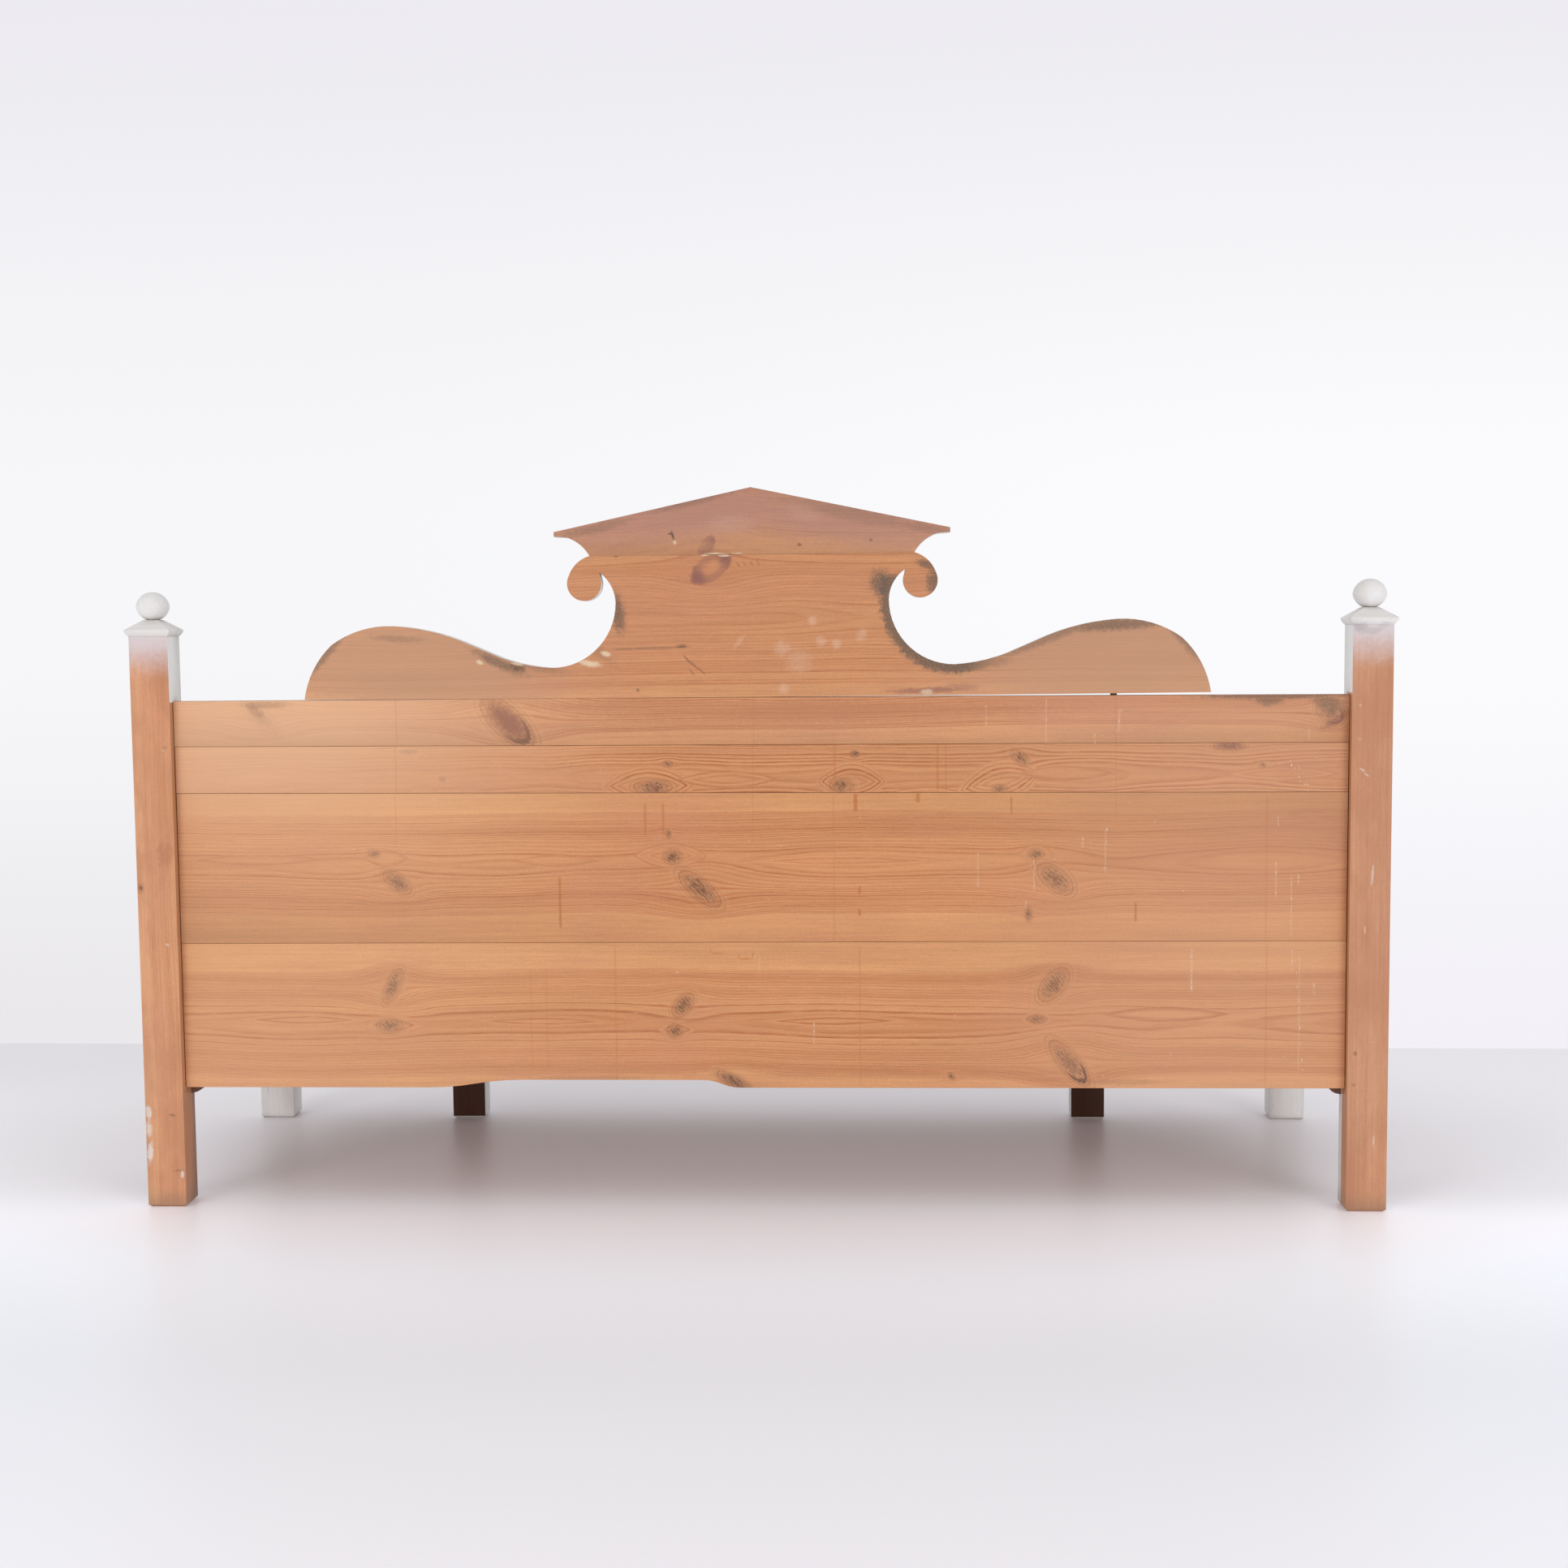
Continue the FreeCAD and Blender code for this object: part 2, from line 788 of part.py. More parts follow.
def drawer_leg(side):
    """A leg of the pull-out front, notched to pass up behind the front board."""
    span = (side * leg_inner_place, side * leg_outer_place)
    foot = foot_chamfered(box(span, (front_board_front_y, leg_rear_y), (0, front_board_base)))
    shank = box(span, (front_board_rear_y, leg_rear_y), (foot_chamfer, leg_top))
    return foot.fuse(shank).removeSplitter()


def drawer_side(side):
    """A side of the pull-out half, which slides on its runner."""
    return box(
        (side * drawer_side_inner, side * drawer_side_outer),
        (front_board_rear_y, drawer_rear_y),
        (drawer_base, drawer_side_top),
    )


def drawer_front_ledger():
    """The ledger behind the front board, in three lengths between the legs."""
    gap = drawer_ledger_side_gap
    spans = [
        (-drawer_side_inner, -leg_outer_place - gap),
        (-leg_inner_place + gap, leg_inner_place - gap),
        (leg_outer_place + gap, drawer_side_inner),
    ]
    depth = (front_board_rear_y, front_board_rear_y + drawer_ledger_width)
    return [box(span, depth, (drawer_base, slat_base)) for span in spans]


def drawer_rear_crossbar():
    """The bar under the rear ends of the drawer slats. It stops against the
    fixed crossbar when the bed is pulled out."""
    span = (drawer_rear_y - drawer_crossbar_width, drawer_rear_y)
    bar = box((-drawer_side_inner, drawer_side_inner), span, (drawer_base, slat_base))
    cuts = reliefs(slat_places(fixed_slat_pairs, 1), (span[0] - overrun, span[1] + overrun))
    return bar.cut(cuts)


def lid_front_board():
    """The front board of the seat, with a rounded front edge."""
    board = box((-lid_end, lid_end), (lid_front_y, lid_seam_y), (lid_base, lid_top))
    nose = [
        edge for edge in board.Edges
        if edge.BoundBox.YMax < lid_front_y + seam_gap and edge.BoundBox.XLength > lid_end
    ]
    return board.makeFillet(lid_rounding, nose)


def lid_rear_board():
    """The rear board of the seat."""
    return box((-lid_end, lid_end), (lid_seam_y + lid_seam_gap, lid_rear_y), (lid_base, lid_top))


def lid_battens():
    """Battens under the seat that hold its boards together, bevelled below at their ends."""
    rear = lid_rear_y - lid_batten_rear_gap
    front = leg_rear_y + lid_batten_front_gap
    low = lid_base - lid_batten_thickness
    bevel = lid_batten_bevel
    outline = [
        (rear, lid_base), (rear, low + bevel), (rear - bevel, low),
        (front + bevel, low), (front, low + bevel), (front, lid_base),
    ]
    return [
        plate_x(edges_along(outline[-1], outline, sideways), around(x, lid_batten_width))
        for x in (-lid_batten_spacing, 0, lid_batten_spacing)
    ]


def knuckle(x_span):
    """A round hinge knuckle about the pin."""
    start, end = x_span
    return rod(knuckle_radius, Vector(start, hinge_y, hinge_z), Vector(end, hinge_y, hinge_z))


def pin_bore(x):
    """The hole through a hinge's knuckles."""
    low, high = around(x, hinge_length + 2 * overrun)
    return rod(pin_radius + pin_clearance, Vector(low, hinge_y, hinge_z), Vector(high, hinge_y, hinge_z))


def hinge_leaf(x, away, own, other, base):
    """A hinge leaf that lies on the wood on one side of the pin. Own and other
    are the stretches of its own knuckle and of the other leaf's."""
    plate = box(
        around(x, hinge_length),
        (hinge_y, hinge_y + away * hinge_leaf_width),
        (base, base + hinge_leaf_thickness),
    )
    clear = knuckle_radius + leaf_relief
    notch = box(
        (other[0] - knuckle_gap, other[1] + knuckle_gap),
        (hinge_y - away * overrun, hinge_y + away * clear),
        (base - overrun, base + clear + overrun),
    )
    leaf = plate.cut(notch).fuse(knuckle(own))
    return leaf.cut(pin_bore(x)).removeSplitter()


def hinges():
    """The fixed leaves, the lid's leaves and the pins of all the hinges. Each
    leaf has one long knuckle, and the pin goes through both."""
    fixed, moving, pins = [], [], []
    for x in (-hinge_place, hinge_place):
        low, high = around(x, hinge_length)
        first, second = (low, x - knuckle_gap / 2), (x + knuckle_gap / 2, high)
        fixed.append(hinge_leaf(x, 1, first, second, seat_top))
        moving.append(hinge_leaf(x, -1, second, first, lid_top))
        pins.append(rod(pin_radius, Vector(low, hinge_y, hinge_z), Vector(high, hinge_y, hinge_z)))
    return fixed, moving, pins


def export(node, shape):
    """Write one node, a single solid or a group of separate ones."""
    if isinstance(shape, list):
        shape = Part.makeCompound(shape)
    shape.exportStep(f"parts/{node}.step")


def main():
    os.makedirs("parts", exist_ok=True)
    back_y = rear_y - post_depth / 2
    fore_y = front_y + post_depth / 2
    for name, side in sides.items():
        export(f"back_post_{name}", back_post(side))
        export(f"front_post_{name}", front_post(side))
        export(f"back_post_cap_{name}", post_cap(side, back_y, back_post_height))
        export(f"front_post_cap_{name}", post_cap(side, fore_y, front_post_height))
        export(f"end_board_lower_{name}", end_board_lower(side))
        export(f"end_board_upper_{name}", end_board_upper(side))
        export(f"arm_rest_{name}", arm_rest(side))
        export(f"side_runner_{name}", side_runner(side))
        export(f"lid_cleat_{name}", lid_cleat(side))
        export(f"drawer_leg_{name}", drawer_leg(side))
        export(f"drawer_side_{name}", drawer_side(side))
    for place, y, height in (("back", back_y, back_post_height), ("front", fore_y, front_post_height)):
        balls = [ball_finial(side, y, height + cap_height) for side in sides.values()]
        export(f"{place}_balls", balls)
    for index in range(len(edge_levels) - 1):
        export(f"back_board_{index + 1}", back_board(index))
    for number in range(moulding_count):
        export(f"front_moulding_{number + 1}", moulding(number))
    export("back_pegs", pegs(-1) + pegs(1))
    export("crest_board", crest_board())
    export("crest_pediment", crest_pediment())
    export("crest_dowels", crest_dowels())
    export("rear_seat_rail", rear_seat_rail())
    export("rear_slat_ledger", rear_slat_ledger())
    export("fixed_crossbar", fixed_crossbar())
    export("fixed_slats", fixed_slats())
    export("drawer_front_board", front_board())
    export("drawer_front_ledger", drawer_front_ledger())
    export("drawer_rear_crossbar", drawer_rear_crossbar())
    export("drawer_slats", drawer_slats())
    export("lid_front_board", lid_front_board())
    export("lid_rear_board", lid_rear_board())
    export("lid_battens", lid_battens())
    fixed, moving, pins = hinges()
    export("hinge_leaves_fixed", fixed)
    export("hinge_leaves_lid", moving)
    export("hinge_pins", pins)


main()
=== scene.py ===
import random
from math import cos, hypot, radians, sin, tan

import bmesh
import bpy
from mathutils import Matrix, Vector


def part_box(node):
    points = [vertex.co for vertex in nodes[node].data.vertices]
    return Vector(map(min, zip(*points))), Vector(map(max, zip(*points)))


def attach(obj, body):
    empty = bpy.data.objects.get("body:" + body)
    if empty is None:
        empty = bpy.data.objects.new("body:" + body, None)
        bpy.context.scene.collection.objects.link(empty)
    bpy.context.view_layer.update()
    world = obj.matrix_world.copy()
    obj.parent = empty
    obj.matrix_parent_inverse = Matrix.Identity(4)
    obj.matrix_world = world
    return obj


# The looks of a pull-out bench bed of pine, seen from behind: bare boards and
# posts at the back, worn off-white paint on every other outer face.
# Metres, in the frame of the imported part. X runs along the bench, Y points to
# its back and Z is up. Across a photograph from behind, X grows to the left.

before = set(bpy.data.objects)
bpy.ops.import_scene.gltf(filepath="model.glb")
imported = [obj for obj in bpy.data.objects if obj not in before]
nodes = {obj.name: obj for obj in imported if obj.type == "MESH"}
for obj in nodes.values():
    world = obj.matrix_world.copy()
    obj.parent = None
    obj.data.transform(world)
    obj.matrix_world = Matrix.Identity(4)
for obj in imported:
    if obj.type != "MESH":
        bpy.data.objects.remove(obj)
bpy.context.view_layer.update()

# Places that follow from the frame
post_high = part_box("back_post_right")[1]
post_rear_y = post_high.y
post_top_z = post_high.z
half_length = post_high.x
board_rear_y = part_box("crest_board")[1].y
board_low_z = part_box("back_board_1")[0].z
top_board_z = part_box("back_board_4")[1].z

# Camera
camera_place = Vector((-0.1824, 3.1766, 0.8753))
camera_turn = 2.709
camera_dip = 4.395
camera_roll = -0.569
camera_lens = 43.98
camera_sensor = 36.0

# Lamps: place, power
lamps = {
    "lamp_left": ((3.0, 4.2, 1.6), 66),
    "lamp_right": ((-3.2, 4.0, 1.6), 64),
}
lamp_target = (0, 0.3, 0.6)
lamp_width = 2.4

# Softened edges
board_edge = 0.0008
post_edge = 0.0015
inner_edge = 0.001
arm_edge = 0.0025
iron_edge = 0.0003
rounded_above = radians(35)
sharp_above = radians(30)

# Slats lie at this step along the bench, and paint wears off to this far from an edge
slat_step = 0.104
worn_reach = 0.004

# Splashes of paint: height of a stroke, step along it and length of a drop
splash_height = 0.00035
splash_step = 0.006
drop_length = 0.007

# Stage
world_light = 0.62
wall_y = -0.872
wall_turn = -0.9
stage_half_width = 9.0
wall_height = 4.2
floor_depth = 9.0


def colour(red, green, blue):
    """A colour from its three levels between 0 and 255, for a shader."""
    def linear(level):
        share = level / 255
        if share <= 0.04045:
            return share / 12.92
        return ((share + 0.055) / 1.055) ** 2.4

    return (linear(red), linear(green), linear(blue), 1.0)


class Number:
    """A number in a material. Arithmetic with it adds the nodes that do it."""

    def __init__(self, tree, socket):
        self.tree = tree
        self.socket = socket

    def __add__(self, other):
        return self.tree.math("ADD", self, other)

    __radd__ = __add__

    def __sub__(self, other):
        return self.tree.math("SUBTRACT", self, other)

    def __rsub__(self, other):
        return self.tree.math("SUBTRACT", other, self)

    def __mul__(self, other):
        return self.tree.math("MULTIPLY", self, other)

    __rmul__ = __mul__

    def __truediv__(self, other):
        return self.tree.math("DIVIDE", self, other)

    def root(self):
        return self.tree.math("SQRT", self)

    def size(self):
        return self.tree.math("ABSOLUTE", self)

    def fraction(self):
        return self.tree.math("FRACT", self)

    def whole(self):
        return self.tree.math("FLOOR", self)

    def most(self, other):
        return self.tree.math("MAXIMUM", self, other)

    def least(self, other):
        return self.tree.math("MINIMUM", self, other)

    def bell(self):
        """One at zero, falling to nothing as the number grows."""
        return self.tree.math("EXPONENT", self * -1.0)

    def rises(self, low, high):
        """Nothing up to the low value, one from the high value on, smooth between."""
        node = self.tree.node(
            "MapRange", {0: self, 1: low, 2: high}, interpolation_type="SMOOTHSTEP"
        )
        return Number(self.tree, node.outputs[0])

    def falls(self, low, high):
        return 1.0 - self.rises(low, high)


class Tree:
    """The nodes of one material, added one by one."""

    def __init__(self, name):
        self.material = bpy.data.materials.new(name)
        self.material.use_nodes = True
        self.nodes = self.material.node_tree.nodes
        self.links = self.material.node_tree.links
        self.nodes.clear()
        self.place = None

    def feed(self, socket, value):
        if isinstance(value, Number):
            value = value.socket
        if isinstance(value, bpy.types.NodeSocket):
            self.links.new(value, socket)
        else:
            socket.default_value = value

    def node(self, kind, inputs, **settings):
        node = self.nodes.new("ShaderNode" + kind)
        for name, value in settings.items():
            setattr(node, name, value)
        for key, value in inputs.items():
            self.feed(node.inputs[key], value)
        return node

    def math(self, operation, *values):
        node = self.node("Math", dict(enumerate(values)), operation=operation)
        return Number(self, node.outputs[0])

    def point(self, x, y, z):
        return self.node("CombineXYZ", {0: x, 1: y, 2: z}).outputs[0]

    def noise(self, x, y, z, detail=2.0, roughness=0.5):
        """A soft random number from 0 to 1 that varies along three numbers."""
        inputs = {
            "Vector": self.point(x, y, z),
            "Scale": 1.0,
            "Detail": detail,
            "Roughness": roughness,
        }
        return Number(self, self.node("TexNoise", inputs).outputs[0])

    def chance(self, value):
        """A random number from 0 to 1 for each whole number."""
        node = self.node("TexWhiteNoise", {"W": value}, noise_dimensions="1D")
        return Number(self, node.outputs[0])

    def spots(self, x, y, z):
        """Distance to the nearest of some scattered points."""
        inputs = {"Vector": self.point(x, y, z), "Scale": 1.0}
        return Number(self, self.node("TexVoronoi", inputs).outputs[0])

    def tint(self, share, first, second, blend="MIX"):
        """A share of the second colour over the first."""
        inputs = {0: share, 6: first, 7: second}
        node = self.node("Mix", inputs, data_type="RGBA", blend_type=blend)
        return node.outputs[2]

    def scale_colour(self, value, factor):
        """A colour made lighter or darker by a factor."""
        grey = self.point(factor, factor, factor)
        return self.tint(1.0, value, grey, "MULTIPLY")

    def split(self, vector):
        """A vector's three numbers."""
        node = self.node("SeparateXYZ", {0: vector})
        return [Number(self, socket) for socket in node.outputs]

    def length(self, vector):
        node = self.node("VectorMath", {0: vector}, operation="LENGTH")
        return Number(self, node.outputs["Value"])

    def where(self):
        """Place on the object at rest, as three numbers."""
        if self.place is None:
            self.place = self.split(self.node("TexCoord", {}).outputs["Object"])
        return self.place

    def edge(self, radius):
        """One on sharp edges and nothing on flat stretches."""
        rounded = self.node("Bevel", {"Radius": radius}, samples=6)
        geometry = self.node("NewGeometry", {})
        inputs = {0: rounded.outputs[0], 1: geometry.outputs["True Normal"]}
        likeness = self.node("VectorMath", inputs, operation="DOT_PRODUCT").outputs["Value"]
        return Number(self, likeness).falls(0.82, 0.995)

    def corner(self, distance):
        """One deep in inner corners and nothing in the open."""
        node = self.node("AmbientOcclusion", {"Distance": distance}, samples=6)
        return Number(self, node.outputs["AO"]).falls(0.30, 0.85)

    def finish(self, base, roughness, height, strength=0.4, distance=0.001, specular=0.4, **more):
        """Close the material with a shader of this colour, gloss and relief."""
        inputs = {"Height": height, "Strength": strength, "Distance": distance}
        bump = self.node("Bump", inputs)
        inputs = {
            "Base Color": base,
            "Roughness": roughness,
            "Normal": bump.outputs[0],
            "Specular IOR Level": specular,
        }
        inputs.update(more)
        shader = self.node("BsdfPrincipled", inputs)
        output = self.node("OutputMaterial", {})
        self.links.new(shader.outputs[0], output.inputs[0])
        return self.material


# Pine
early_heart = colour(216, 154, 108)
late_heart = colour(170, 96, 52)
early_sap = colour(223, 163, 114)
late_sap = colour(204, 140, 95)
browned = colour(178, 118, 86)
knot_rim = colour(184, 130, 92)
knot_heart = colour(130, 86, 60)
knot_dark = colour(76, 48, 34)
knot_light = colour(198, 142, 100)
knot_halo = colour(166, 104, 66)
bark_dark = colour(78, 48, 38)
plum = colour(134, 88, 82)
rosy = colour(206, 142, 110)
paler_pine = colour(235, 188, 150)
duller_pine = colour(204, 156, 126)


def metres(row):
    """A row of a table, with its first four numbers in metres and not millimetres."""
    return tuple(number / 1000 for number in row[:4]) + row[4:]


def most_of(masks):
    """The highest of some masks at each point, or None for none."""
    highest = None
    for mask in masks:
        highest = mask if highest is None else highest.most(mask)
    return highest


def oval(t, point, spot):
    """Place about a tilted oval, as a vector of length one at its rim. A spot is
    its place along and across, its half length and half width and its tilt."""
    inputs = {
        "Vector": point,
        "Location": (spot[0], spot[1], 0.0),
        "Rotation": (0.0, 0.0, radians(spot[4])),
        "Scale": (spot[2], spot[3], 1.0),
    }
    return t.node("Mapping", inputs, vector_type="TEXTURE").outputs[0]


def grain_knots(t, along, across, knots, rough):
    """Bends the grain round the knots. Gives the bent place across the grain, how far
    the nearest knot is, as a share of its size, and a mask of its cracks.

    A knot is a spot. Two more numbers say whether its wood shows and how loose it
    sits, from 0 to 1. A knot without them shows and is tight."""
    point = t.point(along, across, 0.0)
    bent = across
    nearest = None
    cracks = []
    for x, z, half_long, half_short, tilt, *more in map(metres, knots):
        shown, loose = more or (1, 0)
        turn = radians(tilt)
        reach_x = hypot(half_long * cos(turn), half_short * sin(turn))
        reach_z = hypot(half_long * sin(turn), half_short * cos(turn))
        bend = (x, z, 1.5 * reach_x + 1.3 * reach_z, 1.8 * reach_z, 0.0)
        spread = t.length(oval(t, point, bend))
        bent = bent - (spread * spread).bell() * (across - z) * 0.88
        if shown:
            about = oval(t, point, (x, z, half_long, half_short, tilt))
            size = t.length(about)
            nearest = size if nearest is None else nearest.least(size)
        if loose:
            thin = (size + (rough - 0.5) * 0.4 - 0.96).size().falls(0.04, 0.17)
            side = t.split(about)[0].falls(-0.7, 0.0)
            cracks.append(thin * side * loose)
    return bent, nearest, most_of(cracks)


def knot_wood(t, wood, relief, nearest, cracks, along, across, rough):
    """Knots over plain wood: a mottled brown core with dark hairs, thin growth lines
    round it and a soft halo."""
    hairs = t.noise((along + across) * 80, (along - across) * 330, 0.0, 3.0, 0.7)
    ragged = nearest + (rough - 0.5) * 0.4 + (hairs - 0.5) * 0.45
    core = ragged.falls(0.72, 1.10)
    halo = (nearest + (hairs - 0.5) * 1.2).falls(0.5, 2.3)
    pale = (nearest + (rough - 0.5) * 0.6 - 1.55).size().falls(0.0, 0.5)
    wood = t.tint(halo * 0.36, wood, knot_halo)
    wood = t.tint(pale * 0.22, wood, early_sap)
    lines = nearest + (rough - 0.5) * 0.16
    outer = (lines - 1.22).size().falls(0.0, 0.07).most((lines - 1.52).size().falls(0.0, 0.06) * 0.7)
    wood = t.tint(outer * 0.50, wood, knot_heart)
    flesh = t.tint((nearest + (rough - 0.5) * 1.1).falls(0.1, 0.8) * 0.75, knot_rim, knot_heart)
    rim = (ragged - 0.90).size().falls(0.0, 0.14)
    flesh = t.tint(rim * 0.30, flesh, knot_heart)
    flesh = t.tint(hairs.rises(0.49, 0.60) * 0.74, flesh, knot_dark)
    flesh = t.tint(hairs.falls(0.36, 0.46) * 0.55, flesh, knot_light)
    wood = t.tint(core * 0.92, wood, flesh)
    relief = relief + core * (hairs - 0.5) * 1.2
    if cracks is not None:
        wood = t.tint(cracks, wood, bark_dark)
        relief = relief - cracks * 1.5
    return wood, relief


def pine(t, along, across, depth, board):
    """Colour and relief of a pine board's face."""
    seed = board["seed"]
    rough = t.noise(along * 240, across * 240, seed, 3.0, 0.65)
    bent, nearest, cracks = grain_knots(t, along, across, board.get("knots", []), rough)
    slow = t.noise(along * board.get("sway_rate", 1.1), seed, 0.0, 1.0)
    swell = t.noise(along * board.get("swell_rate", 2.3), seed + 7.0, 0.0, 1.0)
    fine = t.noise(along * 9, across * 60, seed, 3.0, 0.6)
    offset = bent - board["pith"] - (slow - 0.5) * board.get("sway", 0.03)
    offset = offset + (fine - 0.5) * 0.0042
    below = depth + board["reach"] + (swell - 0.5) * board.get("swell", 0.02)
    radius = (offset * offset + below * below).root()
    years = t.noise(radius * 120, seed, 0.0, 2.0)
    count = (radius + (years - 0.5) * 0.007) / board["spacing"]
    steep = (offset.size() / radius).rises(0.0, 0.35) * 0.6 + 0.4
    if "eyes" in board:
        point = t.point(along + (fine - 0.5) * 0.006, across + (fine - 0.5) * 0.004, 0.0)
        for x, z, half_long, half_short, tilt, number in map(metres, board["eyes"]):
            ahead, aside = t.split(oval(t, point, (x, z, half_long, half_short, tilt)))[:2]
            size = ahead * ahead + aside.size()
            inside = size.falls(0.92, 0.97)
            count = count + (size * number - count) * inside
            steep = steep + (1.0 - steep) * inside
    part = count.fraction()
    each = t.chance(count.whole() + seed)
    line = part.rises(0.30, 0.90) * part.falls(0.90, 1.0) * (each * 0.85 + 0.15)
    broken = t.noise(along * 26, across * 180, seed + 2.0, 2.0, 0.6).rises(0.25, 0.6) * 0.5 + 0.5
    heart = (radius + (fine - 0.5) * 0.004).falls(board["heart"] - 0.001, board["heart"] + 0.001)
    late = line * steep * broken * (heart * 0.62 + 0.38) * board.get("contrast", 0.95)
    if "fade" in board:
        near, far = board["fade"]
        late = late * (along.rises(near, far) * -0.35 + 1.0)
    early = t.tint(heart, early_sap, early_heart)
    dark = t.tint(heart, late_sap, late_heart)
    wood = t.tint(late, early, dark)

    bands = t.noise(radius * 70, along * 0.5, seed + 3.0, 3.0, 0.6)
    clouds = t.noise(along * 3.2, across * 7.0, seed + 5.0, 3.0, 0.6)
    brown = t.noise(along * 1.3, across * 16.0, seed + 9.0, 2.0, 0.6)
    wood = t.tint(bands.rises(0.42, 0.68) * (heart * 0.18 + 0.10), wood, late_heart)
    wood = t.tint(clouds.rises(0.40, 0.72) * 0.45, wood, rosy)
    wood = t.tint(brown.rises(0.50, 0.70) * 0.22, wood, browned)
    fibres = t.noise(along * 40, across * 800, seed + 11.0, 3.0, 0.7)
    streaks = t.noise(along * 6, across * 250, seed + 13.0, 3.0, 0.6)
    drift = t.noise(along * 2.4, across * 22, seed + 15.0, 2.0, 0.6)
    level = (fibres - 0.5) * 0.34 + (rough - 0.5) * 0.24 + (streaks - 0.5) * 0.34
    wood = t.scale_colour(wood, level + (drift - 0.5) * 0.20 + 1.0)
    if "tone" in board:
        red, green, blue = board["tone"]
        wood = t.tint(1.0, wood, (red, green, blue, 1.0), "MULTIPLY")
    relief = late * 0.5 + fibres * 0.5
    if nearest is None:
        return wood, relief
    return knot_wood(t, wood, relief, nearest, cracks, along, across, rough)


def patches(t, point, rough, spots):
    """Ragged soft patches, each a spot with its strength."""
    masks = []
    for spot in spots:
        size = t.length(oval(t, point, spot))
        masks.append((size + (rough - 0.5) * 1.5).falls(0.35, 1.3) * spot[5])
    return most_of(masks)


def rings(t, point, rough, spots):
    """Ragged oval rings, each a spot with its strength, fuller at their long ends."""
    masks = []
    for spot in spots:
        about = oval(t, point, spot)
        ragged = t.length(about) + (rough - 0.5) * 0.5
        inner = ragged.rises(0.25, 0.72) * (t.split(about)[0].size().rises(0.2, 0.8) * 0.5 + 0.5)
        masks.append(inner * ragged.falls(0.95, 1.2) * spot[5])
    return most_of(masks)


def bands(t, point, rough, spots):
    """Ragged bands inside a round edge, each a spot with its strength, its width
    as a share of the spot, and the place along X where it ends."""
    x, z = t.split(point)[:2]
    masks = []
    for spot in spots:
        gap = t.length(oval(t, point, spot)) - 1.0
        edge = (gap + (rough - 0.5) * spot[6] * 1.5).falls(0.5 * spot[6], 1.1 * spot[6])
        edge = edge * gap.rises(-0.10, -0.06)
        lower = z.falls(spot[1] + 0.030, spot[1] + 0.042)
        end = spot[7] / 1000
        masks.append(edge * x.rises(end, end + 0.06) * lower * spot[5])
    return most_of(masks)


def runs(t, point, rough, lines):
    """Upright lines. A line is its place along X, its low and high ends, its
    half width and its strength."""
    masks = []
    for place, low, high, half_width, strength in lines:
        spot = (place, (low + high) / 2, half_width, (high - low) / 2, 0.0)
        wide, long = [number.size() for number in t.split(oval(t, point, spot))[:2]]
        masks.append((wide + (rough - 0.5) * 1.2).falls(0.4, 1.5) * long.falls(0.9, 1.05) * strength)
    return most_of(masks)


def paler_and_duller_ends(t, wood, x, z):
    """Pine made paler towards its right end, the more so higher up and the less above the crest's foot,
    and duller towards its left end.
    """
    high = z.rises(0.50, 0.74) * 0.7 + 0.3
    below_crest = z.falls(0.786, 0.788) * 0.6 + 0.4
    wood = t.tint(x.rises(0.10, 0.72) * high * below_crest * 0.66, wood, paler_pine)
    return t.tint(x.falls(-0.70, -0.20) * 0.34, wood, duller_pine)


# Boards of the back. Places and sizes of eyes of grain, knots and marks are in
# millimetres, the places along X and up Z.
lowest_board = {
    "seed": 3.0, "pith": 0.287, "reach": 0.040, "spacing": 0.0029, "heart": 0.0915,
    "tone": (0.94, 0.92, 0.88),
    "eyes": [
        (700, 292, 110, 12, 0, 2), (560, 284, 46, 17, 0, 2), (330, 290, 120, 10, 0, 2),
        (122, 277, 30, 16, 0, 2), (-120, 290, 130, 12, 0, 2), (-426, 293, 26, 14, 0, 2),
        (-620, 300, 100, 12, 0, 1),
    ],
    "knots": [
        (560, 345, 24, 10, -64), (567, 283, 17, 10, 0), (112, 315, 18, 11, -50), (125, 275, 10, 9, 0),
        (-452, 346, 25, 14, -50), (-426, 293, 11, 6, 0), (-476, 225, 36, 13, 50, 1, 1),
        (35, 196, 24, 8, 30), (-297, 205, 6, 4, 45),
    ],
}
wide_board = {
    "seed": 11.0, "pith": 0.534, "reach": 0.040, "spacing": 0.0029, "heart": 0.0868,
    "tone": (0.94, 0.90, 0.85),
    "eyes": [
        (762, 541, 104, 9, 0, 1), (566, 543, 36, 14, 0, 1), (305, 538, 72, 9, 0, 1),
        (128, 545, 58, 21, 0, 3), (-135, 536, 168, 10, 0, 2), (-425, 545, 28, 15, 0, 3),
        (-452, 509, 40, 26, 20, 3),
    ],
    "knots": [
        (584, 550, 8, 6, 0), (549, 506, 21, 11, 37), (131, 578, 6, 4, 90), (125, 543, 12, 10, 0),
        (84, 494, 32, 13, 40), (-425, 545, 10, 7, 0), (-454, 507, 26, 14, 40), (-414, 454, 10, 5, 90),
    ],
}
